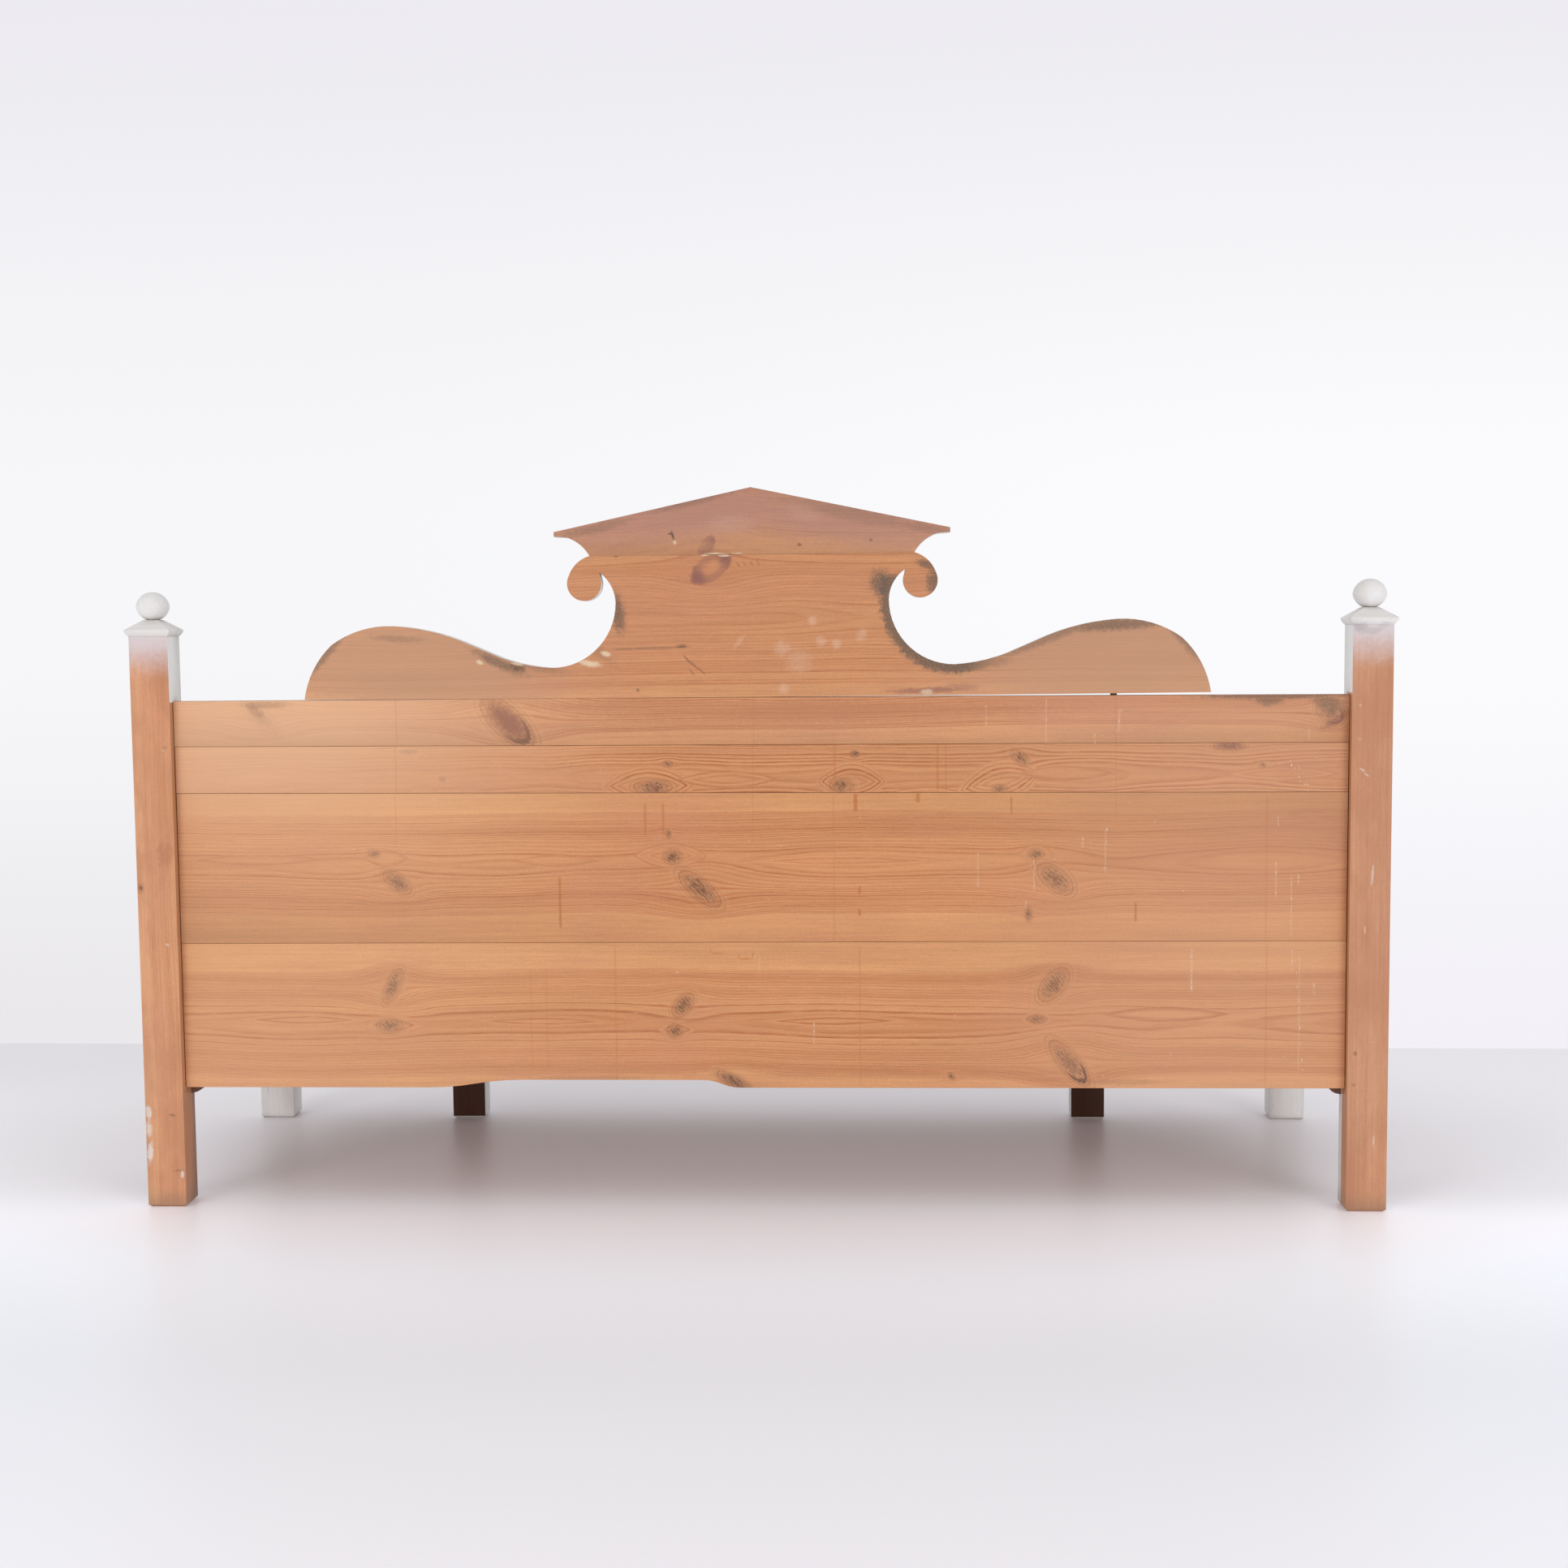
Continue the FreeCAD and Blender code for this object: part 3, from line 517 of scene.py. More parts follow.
narrow_board = {
    "seed": 23.0, "pith": 0.664, "reach": 0.024, "spacing": 0.0042, "heart": 0.30,
    "contrast": 1.25, "sway": 0.02, "swell": 0.03, "swell_rate": 3.6, "fade": (0.12, 0.40),
    "tone": (0.92, 0.90, 0.88),
    "eyes": [
        (660, 663, 84, 8, 0, 1), (508, 641, 30, 16, 0, 1), (160, 652, 78, 34, 0, 5),
        (40, 661, 80, 14, 0, 2), (-148, 656, 58, 34, 0, 5), (-262, 636, 70, 12, 0, 2),
        (-372, 655, 70, 34, -12, 5), (-470, 667, 75, 12, 0, 1), (-790, 664, 90, 12, 0, 2),
    ],
    "knots": [
        (476, 664, 5, 4, 0), (130, 685, 6, 5, 0), (153, 650, 24, 9, 0), (-153, 698, 6, 5, 0),
        (-133, 650, 15, 10, 0), (-402, 690, 14, 8, 40), (-371, 644, 10, 6, 0), (-713, 706, 19, 7, 0),
        (-762, 677, 5, 4, 0), (527, 706, 11, 4, 0),
    ],
}
top_board = {
    "seed": 31.0, "pith": 0.805, "reach": 0.030, "spacing": 0.0030, "heart": 0.076,
    "tone": (0.93, 0.92, 0.95),
    "knots": [(374, 750, 42, 19, 43, 1, 1), (755, 762, 30, 12, 45), (-862, 755, 20, 14, 40, 1, 0.7)],
}
crest_grain = {
    "seed": 41.0, "pith": 0.905, "reach": 0.030, "spacing": 0.0040, "heart": 0.105,
    "sway": 0.04, "swell": 0.03, "contrast": 0.62, "tone": (0.88, 0.86, 0.85),
    "knots": [(62, 980, 34, 20, -35, 0, 0), (106, 862.5, 8, 3, 0)],
}
pediment_grain = {
    "seed": 53.0, "pith": 1.010, "reach": 0.025, "spacing": 0.0034, "heart": 0.25,
    "contrast": 0.60, "tone": (0.81, 0.85, 0.89),
    "knots": [(65, 992, 34, 26, -50, 0, 0)],
}

# Marks of age, with one painted shadow among the dark ones. Each has its kind, its colour, how much of it
# shows, how speckled it is and its places.
grime = colour(100, 86, 74)
soot_and_shade = colour(70, 56, 50)
filler = colour(226, 202, 170)
pale_touch = colour(224, 188, 166)
resin = colour(184, 108, 50)
faint_run = colour(184, 116, 70)
mauve = colour(172, 126, 118)
dusty = colour(190, 146, 118)
blue_grey = colour(156, 152, 158)
chips = colour(224, 216, 208)
pale_drip = colour(234, 206, 182)

crest_marks = [
    ("patch", dusty, 0.62, 0.0, [(500, 840, 230, 120, 0, 1), (-520, 840, 260, 120, 0, 1)]),
    ("band", grime, 0.92, 0.35, [(-304, 930, 98.3, 98.3, 0, 1, 0.17, -370)]),
    ("patch", grime, 0.86, 0.45, [
        (-192, 955, 16, 22, 0, 1), (-545, 889, 95, 10, -3, 0.9), (-645, 868, 50, 11, 50, 0.7),
        (-440, 869, 90, 9, -21, 0.6), (-340, 833, 50, 12, -8, 0.5), (-275, 955, 14, 25, 0, 1),
        (-262, 981, 18, 7, 20, 1), (385, 840, 45, 9, 24, 0.85), (330, 836, 50, 10, 12, 0.45),
        (650, 858, 60, 9, -49, 0.7), (540, 878, 45, 6, 4, 0.4), (203, 914, 34, 12, 82, 1),
        (236, 858, 40, 9, 40, 0.3),
    ]),
    ("patch", plum, 0.75, 0.25, [(-262, 793, 60, 5.5, -1, 0.9), (-315, 797, 28, 7, 0, 0.5)]),
    ("ring", plum, 0.82, 0.25, [(60.5, 980, 33, 17.5, -35, 1)]),
    ("patch", plum, 0.55, 0.3, [(80, 966.5, 12, 8, -35, 1), (40, 993, 12, 5, -35, 1)]),
    ("patch", soot_and_shade, 0.62, 0.2, [
        (-20, 999, 220, 0.6, 0, 0.7), (155, 860, 66, 1.8, -1, 0.7), (98, 842, 12, 1.6, 50, 0.8),
        (88, 834, 10, 1.4, 50, 0.8), (78, 826, 9, 1.4, 45, 0.8), (92, 824, 10, 1.3, 50, 0.7),
        (20, 984, 6, 1.1, 60, 0.6), (10, 985, 6, 1.1, 60, 0.6), (0, 986, 6, 1.1, 60, 0.6),
        (-10, 987, 6, 1.1, 60, 0.6), (356, 833, 14, 6, 10, 1), (204, 999, 3, 3, 0, 0.8),
        (174, 797, 3, 3, 0, 0.8),
    ]),
    ("patch", filler, 0.85, 0.0, [
        (247, 838, 17, 5.2, 8, 1), (222, 852, 8, 4.2, 10, 1), (414, 841, 6, 3.5, 20, 0.9),
        (356, 838, 10, 2.5, 10, 0.9), (-262, 791, 11, 4.5, 0, 0.7), (40, 997.5, 10, 1.8, 0, 0.9),
        (70, 998.5, 6, 1.4, 0, 0.9),
    ]),
    ("patch", pale_touch, 0.38, 0.4, [
        (-91, 898.5, 7, 8, 0, 1), (-104, 868, 8, 8, 0, 1), (-127, 864, 8, 8, 0, 1),
        (-165, 877, 9, 12, 30, 0.8), (-45, 857, 14, 12, 0, 0.9), (-70, 838, 22, 20, 0, 0.6),
        (-47, 797, 9, 8, 0, 0.9), (20, 868, 16, 4, -50, 0.7),
    ]),
]
pediment_marks = [
    ("patch", mauve, 0.60, 0.15, [(100, 1060, 280, 46, -6, 1), (-140, 1052, 260, 46, 8, 1)]),
    ("patch", grime, 0.50, 0.45, [
        (-150, 1058, 110, 12, 12, 0.6), (-262, 1035, 45, 8, 10, 0.7), (90, 1078, 70, 7, -13, 0.8),
        (235, 1040, 60, 8, -13, 0.7),
    ]),
    ("patch", plum, 0.45, 0.3, [(66, 1009, 17, 8, -60, 1)]),
    ("ring", plum, 0.5, 0.25, [(67, 1011, 18, 10, -60, 1)]),
    ("patch", pale_touch, 0.26, 0.5, [(30, 1045, 40, 14, 0, 0.6), (-80, 1060, 30, 16, 20, 0.4)]),
    ("patch", soot_and_shade, 0.8, 0.2, [
        (117.6, 1028, 7, 2.2, 75, 1), (121, 1031, 5, 1.6, 5, 1), (-72.6, 1012.7, 4, 3, 0, 0.8),
        (-180, 1018, 3, 2.5, 0, 0.6),
    ]),
    ("patch", filler, 0.8, 0.0, [
        (115, 1018, 3, 3.5, 0, 0.9), (55, 1001, 16, 1.4, 0, 0.8), (20, 1001, 10, 1.2, 0, 0.7),
    ]),
]

# Long strokes of splashed paint in millimetres: top along X and Z, foot along X and
# Z, and width
long_strokes = [
    (-350.6, 769.8, -350.6, 738.1, 1.8), (-440.3, 778, -440.3, 713.1, 1.6),
    (-553.8, 763.3, -544.3, 728.1, 2.6), (-512.9, 727.2, -512.9, 702.8, 1.6),
    (-830.1, 732, -830.2, 714.5, 2), (-338, 548.2, -338, 493.9, 1.6), (-422.1, 535.5, -422.1, 486.2, 1.5),
    (-409.9, 473.9, -409.9, 461.5, 1.6), (-531.4, 584.1, -526.8, 514.1, 1.8),
    (-495.1, 570.8, -495.1, 554.8, 2.6), (-783, 531.4, -783.5, 477.5, 1.8),
    (-806, 511.7, -807.1, 418, 1.6), (-816.9, 511.7, -816.9, 497, 1.8),
    (-785.9, 599.9, -786.1, 585.2, 1.8), (-658.4, 400.2, -658.8, 334.7, 2.6),
    (-808.4, 398.7, -808.8, 365.4, 1.6), (-813.3, 392.5, -826.1, 210.4, 1.4),
    (-841.5, 348, -841.8, 329.5, 2), (-88.2, 287.7, -88, 255.1, 1.8), (2.5, 391.8, -14.5, 365.5, 1.4),
    (120.9, 367, 120.9, 364.5, 3),
]


def drips(low, high):
    """Faint upright lines under the strokes that lie between two heights."""
    return [
        ((top_x + foot_x) / 2, foot_z, top_z, width * 0.7, 0.8)
        for top_x, top_z, foot_x, foot_z, width in long_strokes
        if low < (top_z + foot_z) / 2 < high
    ]


top_marks = [
    ("run", pale_drip, 0.24, 0.6, drips(710, 790)),
    ("patch", browned, 0.50, 0.1, [
        (-120, 762, 360, 18, 0, 1), (374, 750, 46, 21, 43, 1), (150, 774, 200, 8, 0, 0.8),
    ]),
    ("patch", grime, 0.86, 0.45, [
        (-780, 781, 130, 6, 0, 0.9), (-770, 775, 24, 10, 0, 0.8), (-858, 770, 30, 14, 20, 0.7),
        (745, 779, 40, 6, 0, 0.4),
    ]),
    ("patch", plum, 0.55, 0.25, [
        (372, 751, 40, 16, 43, 0.9), (-868, 742, 24, 6, -30, 0.9), (762, 770, 18, 8, 45, 0.5),
    ]),
    ("run", faint_run, 0.24, 0.0, [
        (544.7, 720, 790, 0.9, 1), (-0.7, 710, 790, 0.9, 1), (-544, 710, 790, 0.9, 1),
        (-122.6, 710, 734, 1.2, 0.7),
    ]),
]
narrow_marks = [
    ("patch", plum, 0.5, 0.25, [
        (-713, 706, 20, 6, 0, 0.9), (153, 642, 26, 5, 0, 0.6), (-153, 698, 6, 5, 0, 0.8),
    ]),
    ("run", faint_run, 0.28, 0.0, [
        (547, 630, 720, 0.9, 0.8), (1, 630, 720, 0.9, 1), (-544.5, 630, 720, 0.9, 0.8),
        (-122.5, 630, 720, 1.3, 0.7),
    ]),
    ("run", resin, 0.42, 0.0, [
        (-277.5, 640, 714, 1.8, 1), (-290, 640, 714, 1.4, 0.7), (-122.5, 650, 714, 2, 0.6),
    ]),
]
wide_marks = [
    ("run", pale_drip, 0.24, 0.6, drips(410, 640)),
    ("run", resin, 0.66, 0.0, [
        (-153.7, 611, 638, 3, 1), (-247.9, 624, 638, 3, 0.9), (-388.1, 606, 632, 1.6, 0.8),
        (165.8, 575, 625, 2, 0.7), (138.5, 575, 625, 2, 0.7), (-574.4, 442, 471, 2, 0.9),
        (-158.8, 485, 497, 2.2, 1), (-158.6, 452, 462, 2.2, 1), (298.6, 434, 514, 2, 0.9),
    ]),
    ("run", faint_run, 0.24, 0.0, [
        (549, 565, 640, 0.9, 0.8), (2, 562, 640, 0.9, 1), (-544.7, 596, 640, 0.9, 0.8),
        (-120.5, 413, 640, 1.6, 0.8), (-769, 413, 632, 1.6, 0.8),
    ]),
]
lowest_marks = [
    ("run", pale_drip, 0.24, 0.6, drips(190, 410)),
    ("run", faint_run, 0.28, 0.0, [
        (-158.5, 190, 406, 1.8, 0.9), (215.5, 190, 410, 1.8, 0.9), (-770.5, 190, 410, 1.6, 0.8),
        (346, 212, 370, 1.6, 0.6), (322.2, 212, 370, 1.6, 0.6),
    ]),
    ("patch", resin, 0.6, 0.0, [
        (58, 394.5, 13, 1.2, 0, 0.8), (69, 399, 1.2, 4, 0, 0.9), (25, 390, 1.2, 5, 0, 0.9),
        (15, 386, 10, 1.4, 0, 0.9), (4, 392, 1.2, 5, 0, 0.9),
    ]),
    ("patch", grime, 0.4, 0.45, [
        (35, 196, 40, 12, 25, 0.8), (-560, 196, 60, 5, 0, 0.6), (250, 202, 100, 4, 0, 0.5),
    ]),
]

# Paint and metal
paint_white = colour(232, 230, 229)
paint_shade = colour(206, 203, 200)
paint_cream = colour(222, 216, 206)
paint_dirt_and_shade = colour(150, 140, 126)
knot_stain = colour(196, 172, 136)
split_dark = colour(112, 98, 84)
rubbed_early = colour(200, 156, 116)
rubbed_late = colour(156, 110, 78)
inner_age = colour(178, 146, 114)
lilac_white = colour(216, 208, 212)
darker_foot_tone = colour(138, 114, 92)
iron_dark = colour(66, 58, 54)
iron_rust = colour(104, 66, 46)
post_early = colour(206, 152, 112)
post_late = colour(172, 112, 76)
stain_deep = colour(54, 31, 22)
stain_thin = colour(88, 52, 35)
wax_deep = colour(84, 58, 44)
wax_thin = colour(134, 92, 66)
seam_brown = colour(120, 76, 50)
peg_pine = colour(206, 160, 132)
splash_pale = colour(232, 212, 194)
splash_thin = colour(220, 180, 152)


def paint(t, along, across, depth, seed):
    """Colour and relief of brushed off-white paint, uneven and a little soiled, with
    knots that stain it, fine splits along the grain, and darkening in its inner corners that is dirt and
    painted shade in one."""
    strokes = t.noise(along * 7, across * 420, depth * 420 + seed, 2.0, 0.6)
    broad = t.noise(along * 2.2, across * 70, depth * 70 + seed + 3.0, 2.0, 0.6)
    clouds = t.noise(along * 4, across * 9, depth * 9 + seed, 3.0, 0.6)
    soil = t.noise(along * 14, across * 22, depth * 22 + seed + 5.0, 4.0, 0.7)
    tone = t.tint(clouds.rises(0.35, 0.75) * 0.5, paint_white, paint_shade)
    tone = t.tint(broad.rises(0.45, 0.65) * 0.40, tone, paint_cream)
    tone = t.tint(soil.rises(0.58, 0.8) * 0.28, tone, paint_dirt_and_shade)
    stain = t.spots(along * 3.4, across * 7.0, depth * 7.0 + seed)
    stained_here = (stain + (soil - 0.5) * 0.10).falls(0.04, 0.15) * clouds.rises(0.42, 0.58)
    tone = t.tint(stained_here * 0.38, tone, knot_stain)
    opened = t.noise(along * 2.6, across * 170, depth * 170 + seed + 17.0, 2.0, 0.5)
    split = (opened - 0.5).size().falls(0.0, 0.010) * soil.rises(0.50, 0.60)
    tone = t.tint(split * 0.55, tone, split_dark)
    # Painted shade with dirt: ambient occlusion darkens the paint in its inner corners.
    corner = t.corner(0.014)
    tone = t.tint(corner * (soil * 0.8 + 0.2) * 0.62, tone, paint_dirt_and_shade)
    tone = t.scale_colour(tone, (strokes - 0.5) * 0.10 + (broad - 0.5) * 0.06 + 1.0)
    return tone, strokes * 0.5 + clouds * 0.3 + broad * 0.4 - split * 0.8


def worn(t, tone, bare, relief, seed, wear):
    """Paint worn off to the bare wood along edges and in small chips."""
    x, y, z = t.where()
    edge = t.edge(worn_reach)
    patch = t.noise(x * 16, y * 16, z * 16 + seed, 4.0, 0.65)
    chip = t.noise(x * 150, y * 150, z * 150 + seed, 2.0, 0.6)
    least = 1.00 - 0.30 * wear
    bared = (edge * 0.6 + (patch - 0.5) * 1.7 + (chip - 0.5) * 0.9).rises(least, least + 0.05)
    return t.tint(bared, tone, bare), relief - bared * 0.8, bared


def turned(t, axis):
    """Numbers along the grain, across it and into the wood. An axis is the one that
    the grain runs along, and after it the one across a wide face, where it matters."""
    x, y, z = t.where()
    turns = {
        "x": (x, z, y), "xy": (x, y, z), "y": (y, x, z), "yz": (y, z, x), "z": (z, x, y),
    }
    return turns[axis]


def bare_pine(name, axis, board, tone=None, share=0.0):
    """Unpainted pine, with a tone of age over it."""
    t = Tree(name)
    along, across, depth = turned(t, axis)
    wood, relief = pine(t, along, across, depth, board)
    if tone:
        wood = t.tint(share, wood, tone)
    return t.finish(wood, 0.58, relief, strength=0.35, distance=0.0006)


def painted(name, axis, seed, wear=0.5):
    """Off-white paint over pine, worn at the edges."""
    t = Tree(name)
    along, across, depth = turned(t, axis)
    tone, relief = paint(t, along, across, depth, seed)
    under = t.noise(along * 5, across * 300, seed, 2.0)
    bare = t.tint(under, rubbed_early, rubbed_late)
    tone, relief, bared = worn(t, tone, bare, relief, seed, wear)
    roughness = bared * 0.2 + 0.42
    return t.finish(tone, roughness, relief, strength=0.3, distance=0.0008)


mark_kinds = {"patch": patches, "ring": rings, "band": bands, "run": runs}


def marked(t, wood, x, z, rough, seed, marks):
    """Wood with the marks of its age over it, and any painted shadow listed among them."""
    speck = t.noise(x * 420, z * 420, seed + 23.0, 2.0, 0.6).rises(0.30, 0.62)
    point = t.point(x + (rough - 0.5) * 0.002, z + (rough - 0.5) * 0.002, 0.0)
    for kind, tone, share, speckle, spots in marks:
        mask = mark_kinds[kind](t, point, rough, map(metres, spots)) * share
        if speckle:
            mask = mask * (speck * speckle + (1.0 - speckle))
        wood = t.tint(mask, wood, tone)
    return wood


def board_material(name, board, marks):
    """The bare rear face of a board of the back, with the marks of its age."""
    t = Tree(name)
    x, y, z = t.where()
    wood, relief = pine(t, x, z, board_rear_y - y, board)
    wood = paler_and_duller_ends(t, wood, x, z)
    rough = t.noise(x * 130, z * 130, board["seed"] + 19.0, 4.0, 0.7)
    wood = marked(t, wood, x, z, rough, board["seed"], marks)
    return t.finish(wood, 0.52, relief, strength=0.35, distance=0.0006)


def post_material(name, board, marks):
    """The bare rear face of a back post, with a haze of paint below its cap, darker
    towards its foot, and the marks of its age, with a painted shadow under the left post's cap among them."""
    t = Tree(name)
    x, y, z = t.where()
    wood, relief = pine(t, z, x, post_rear_y - y, board)
    blotches = t.noise(x * 16, z * 7, board["seed"] + 1.0, 3.0, 0.6)
    wood = t.tint(blotches.rises(0.35, 0.65) * 0.45, wood, browned)
    rough = t.noise(x * 130, z * 130, board["seed"] + 19.0, 4.0, 0.7)
    haze = t.noise(x * 34, z * 34, board["seed"], 4.0, 0.7)
    fall = z + (haze - 0.5) * 0.03 + (rough - 0.5) * 0.03
    wood = t.tint(fall.rises(post_top_z - 0.070, post_top_z + 0.002) * 0.90, wood, lilac_white)
    # Darker towards the foot of the rear face.
    soil = (z + (haze - 0.5) * 0.03).falls(0.0, 0.035)
    wood = t.tint(soil * 0.55, wood, darker_foot_tone)
    wood = marked(t, wood, x, z, rough, board["seed"], marks)
    return t.finish(wood, 0.52, relief, strength=0.35, distance=0.0006)


def post_side_material(name, seed, bare_depth):
    """The other faces of a back post: paint, and bare wood where the back boards
    meet it, below them to a depth from the rear face, and at its foot."""
    t = Tree(name)
    x, y, z = t.where()
    tone, brushed = paint(t, z, x, y, seed)
    grain = t.noise(z * 7, y * 300, seed, 3.0, 0.6)
    bare = t.tint(grain, post_early, post_late)
    tone, brushed, bared = worn(t, tone, bare, brushed, seed, 0.6)
    ragged = t.noise(y * 120, z * 120, seed, 3.0)
    uneven = (ragged - 0.5) * 0.006
    inner = x.size().falls(half_length - 0.0592, half_length - 0.0585)
    beside = y.rises(board_rear_y - 0.020, board_rear_y - 0.019)
    beside = beside * (z + uneven).falls(top_board_z - 0.002, top_board_z)
    below = (y + uneven).rises(post_rear_y - bare_depth - 0.002, post_rear_y - bare_depth)
    below = below * z.falls(board_low_z, board_low_z + 0.004)
    foot = (z + uneven * 0.4).falls(0.003, 0.006)
    shown = t.tint((inner * beside.most(below)).most(foot), tone, bare)
    # Darker towards the foot on the other faces.
    darker_foot = (z + uneven).falls(0.0, 0.045) * 0.4
    shown = t.tint(darker_foot, shown, darker_foot_tone)
    return t.finish(shown, bared * 0.2 + 0.42, brushed, strength=0.3, distance=0.0008)


def leg_material(name, seed):
    """The dark stained rear face of a leg of the pull-out front."""
    t = Tree(name)
    x, y, z = t.where()
    streaks = t.noise(z * 9, x * 240, seed, 3.0, 0.65)
    dark = t.tint(streaks, stain_deep, stain_thin)
    return t.finish(dark, 0.5, streaks, strength=0.35, distance=0.0006)


def stained(name, axis, seed):
    """Pine gone dark brown with age and wax."""
    t = Tree(name)
    along, across, depth = turned(t, axis)
    streaks = t.noise(along * 8, across * 260, depth * 260 + seed, 3.0, 0.65)
    dark = t.tint(streaks, wax_deep, wax_thin)
    return t.finish(dark, 0.5, streaks, strength=0.35, distance=0.0006)


def iron(name):
    """Old forged iron with rust in its pits."""
    t = Tree(name)
    x, y, z = t.where()
    pits = t.noise(x * 300, y * 300, z * 300, 3.0, 0.6)
    rust = t.noise(x * 70, y * 70, z * 70, 3.0, 0.6).rises(0.5, 0.65)
    tone = t.tint(rust, iron_dark, iron_rust)
    return t.finish(tone, rust * 0.3 + 0.45, pits, strength=0.5, distance=0.0004, Metallic=0.6)


def dress(name, material, bevel=0.0, rear=None, front=None):
    """Give a piece of the frame its material, other ones for its rear and front
    faces, and softened edges."""
    piece = nodes[name]
    mesh = piece.data
    mesh.materials.clear()
    mesh.materials.append(material)
    low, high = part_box(name)
    if rear:
        mesh.materials.append(rear)
        for polygon in mesh.polygons:
            if polygon.normal.y > 0.9 and polygon.center.y > high.y - 0.0005:
                polygon.material_index = 1
    if front:
        mesh.materials.append(front)
        for polygon in mesh.polygons:
            if polygon.normal.y < -0.9 and polygon.center.y < low.y + 0.0005:
                polygon.material_index = 2
    weld = piece.modifiers.new("weld", "WELD")
    weld.merge_threshold = 0.00001
    if bevel:
        rounding = piece.modifiers.new("edges", "BEVEL")
        rounding.width = bevel
        rounding.segments = 2
        rounding.limit_method = "ANGLE"
        rounding.angle_limit = rounded_above
        rounding.harden_normals = True


def bare_side(name, direction, material):
    """Give the faces of a piece that look one way a material of their own."""
    mesh = nodes[name].data
    mesh.materials.append(material)
    for polygon in mesh.polygons:
        if polygon.normal.dot(Vector(direction)) > 0.9:
            polygon.material_index = len(mesh.materials) - 1


def row_of_slats(name):
    """Bare pine slats that differ from one another."""
    t = Tree(name)
    x, y, z = t.where()
    number = (x / slat_step + 0.5).whole()
    other = t.chance(number)
    knots = t.spots(y * 4.0, x * 11.0, other * 30.0)
    board = {
        "seed": other * 40.0, "pith": number * slat_step + (other - 0.5) * 0.08,
        "reach": 0.03, "spacing": 0.003, "heart": 0.08,
    }
    wood, relief = pine(t, y, x, z, board)
    wood = t.tint(other * 0.25, wood, rosy)
    wood = t.tint(0.34, wood, inner_age)
    wood = t.tint(knots.falls(0.07, 0.12) * 0.5, wood, knot_rim)
    wood = t.tint(knots.falls(0.04, 0.08) * 0.7, wood, knot_heart)
    wood = t.scale_colour(wood, other * 0.20 + 0.88)
    return t.finish(wood, 0.62, relief, strength=0.35, distance=0.0006)


plain_board = {"seed": 61.0, "pith": 0.30, "reach": 0.03, "spacing": 0.003, "heart": 0.16}
seat_under_board = dict(plain_board, knots=[
    (640, -180, 24, 13, 20), (330, 100, 14, 9, -30), (120, -80, 20, 12, 40), (-270, -210, 16, 10, 0),
    (-380, 60, 22, 12, -40), (-700, -100, 18, 11, 30), (-800, 130, 10, 7, 0),
])
post_right_board = {
    "seed": 71.0, "pith": 0.868, "reach": 0.030, "spacing": 0.0021, "heart": 0.0712,
    "contrast": 0.42, "tone": (1.0, 1.05, 1.14),
    "knots": [(500, 945, 6, 4, 0)],
}
post_left_board = {
    "seed": 83.0, "pith": -0.868, "reach": 0.026, "spacing": 0.0021, "heart": 0.30,
    "contrast": 0.42, "tone": (0.88, 0.94, 1.12),
}
post_right_marks = [
    ("patch", browned, 0.7, 0.0, [
        (905, 548, 13, 18, 0, 0.9), (912, 562, 6, 12, 25, 0.8), (898, 560, 6, 12, -25, 0.8),
    ]),
    ("patch", soot_and_shade, 0.5, 0.0, [
        (899.5, 716, 4, 2, 0, 0.7), (908.1, 145.5, 6, 2.5, 10, 0.8), (900, 58, 10, 2, 0, 0.6),
    ]),
    ("patch", chips, 0.8, 0.0, [
        (945, 149, 5, 12, 0, 0.9), (945, 124, 5, 14, 0, 0.8), (944.5, 86, 5, 18, 5, 1),
        (895, 52, 3, 6, 0, 0.9), (906, 412, 4, 2, 20, 0.5),
    ]),
]
post_left_marks = [
    ("patch", blue_grey, 0.46, 0.0, [
        (-900, 881, 14, 9, 20, 1), (-920, 876, 16, 5, -10, 0.7), (-935, 885, 10, 5, 0, 0.6),
    ]),
    ("patch", soot_and_shade, 0.85, 0.0, [
        # The first dark mark here is a painted shadow: the line of shade in the gap under the cap.
        (-923, 896.5, 18, 0.9, 0, 1), (-901.3, 243, 3, 4, 0, 0.5), (-899.5, 195, 3, 3, 0, 0.4),
    ]),
    ("patch", chips, 0.55, 0.0, [
        (-923, 512, 2.2, 18, 4, 0.8), (-906, 670, 5, 2, 35, 0.9), (-913, 662, 4, 1.6, 35, 0.8),
        (-913, 430, 1.4, 6, 0, 0.7), (-930, 110, 1.4, 10, 0, 0.6),
    ]),
]


def inside_pine(name, axis, board=plain_board):
    """Bare pine of the inside, yellowed with age."""
    return bare_pine(name, axis, board, inner_age, 0.36)


upright_paint = painted("paint_upright", "z", 5.0)
level_paint = painted("paint_along", "x", 15.0, wear=0.35)
end_paint = painted("paint_ends", "y", 25.0, wear=0.8)
seat_paint = painted("paint_seat", "x", 35.0, wear=1.0)
board_looks = {
    "back_board_1": ("pine_board_1", lowest_board, lowest_marks),
    "back_board_2": ("pine_board_2", wide_board, wide_marks),
    "back_board_3": ("pine_board_3", narrow_board, narrow_marks),
    "back_board_4": ("pine_board_4", top_board, top_marks),
    "crest_board": ("pine_crest", crest_grain, crest_marks),
    "crest_pediment": ("pine_pediment", pediment_grain, pediment_marks),
}
board_edges = bare_pine("pine_board_edges", "x", plain_board, seam_brown, 0.6)
for name, look in board_looks.items():
    edges = board_edges if name.startswith("back") else level_paint
    dress(name, edges, board_edge, board_material(*look), level_paint)
post_looks = {
    "right": (post_right_board, post_right_marks, 0.060),
    "left": (post_left_board, post_left_marks, 0.008),
}
for side, (board, marks, bare_depth) in post_looks.items():
    others = post_side_material("post_faces_" + side, board["seed"], bare_depth)
    dress("back_post_" + side, others, post_edge, post_material("pine_post_" + side, board, marks))
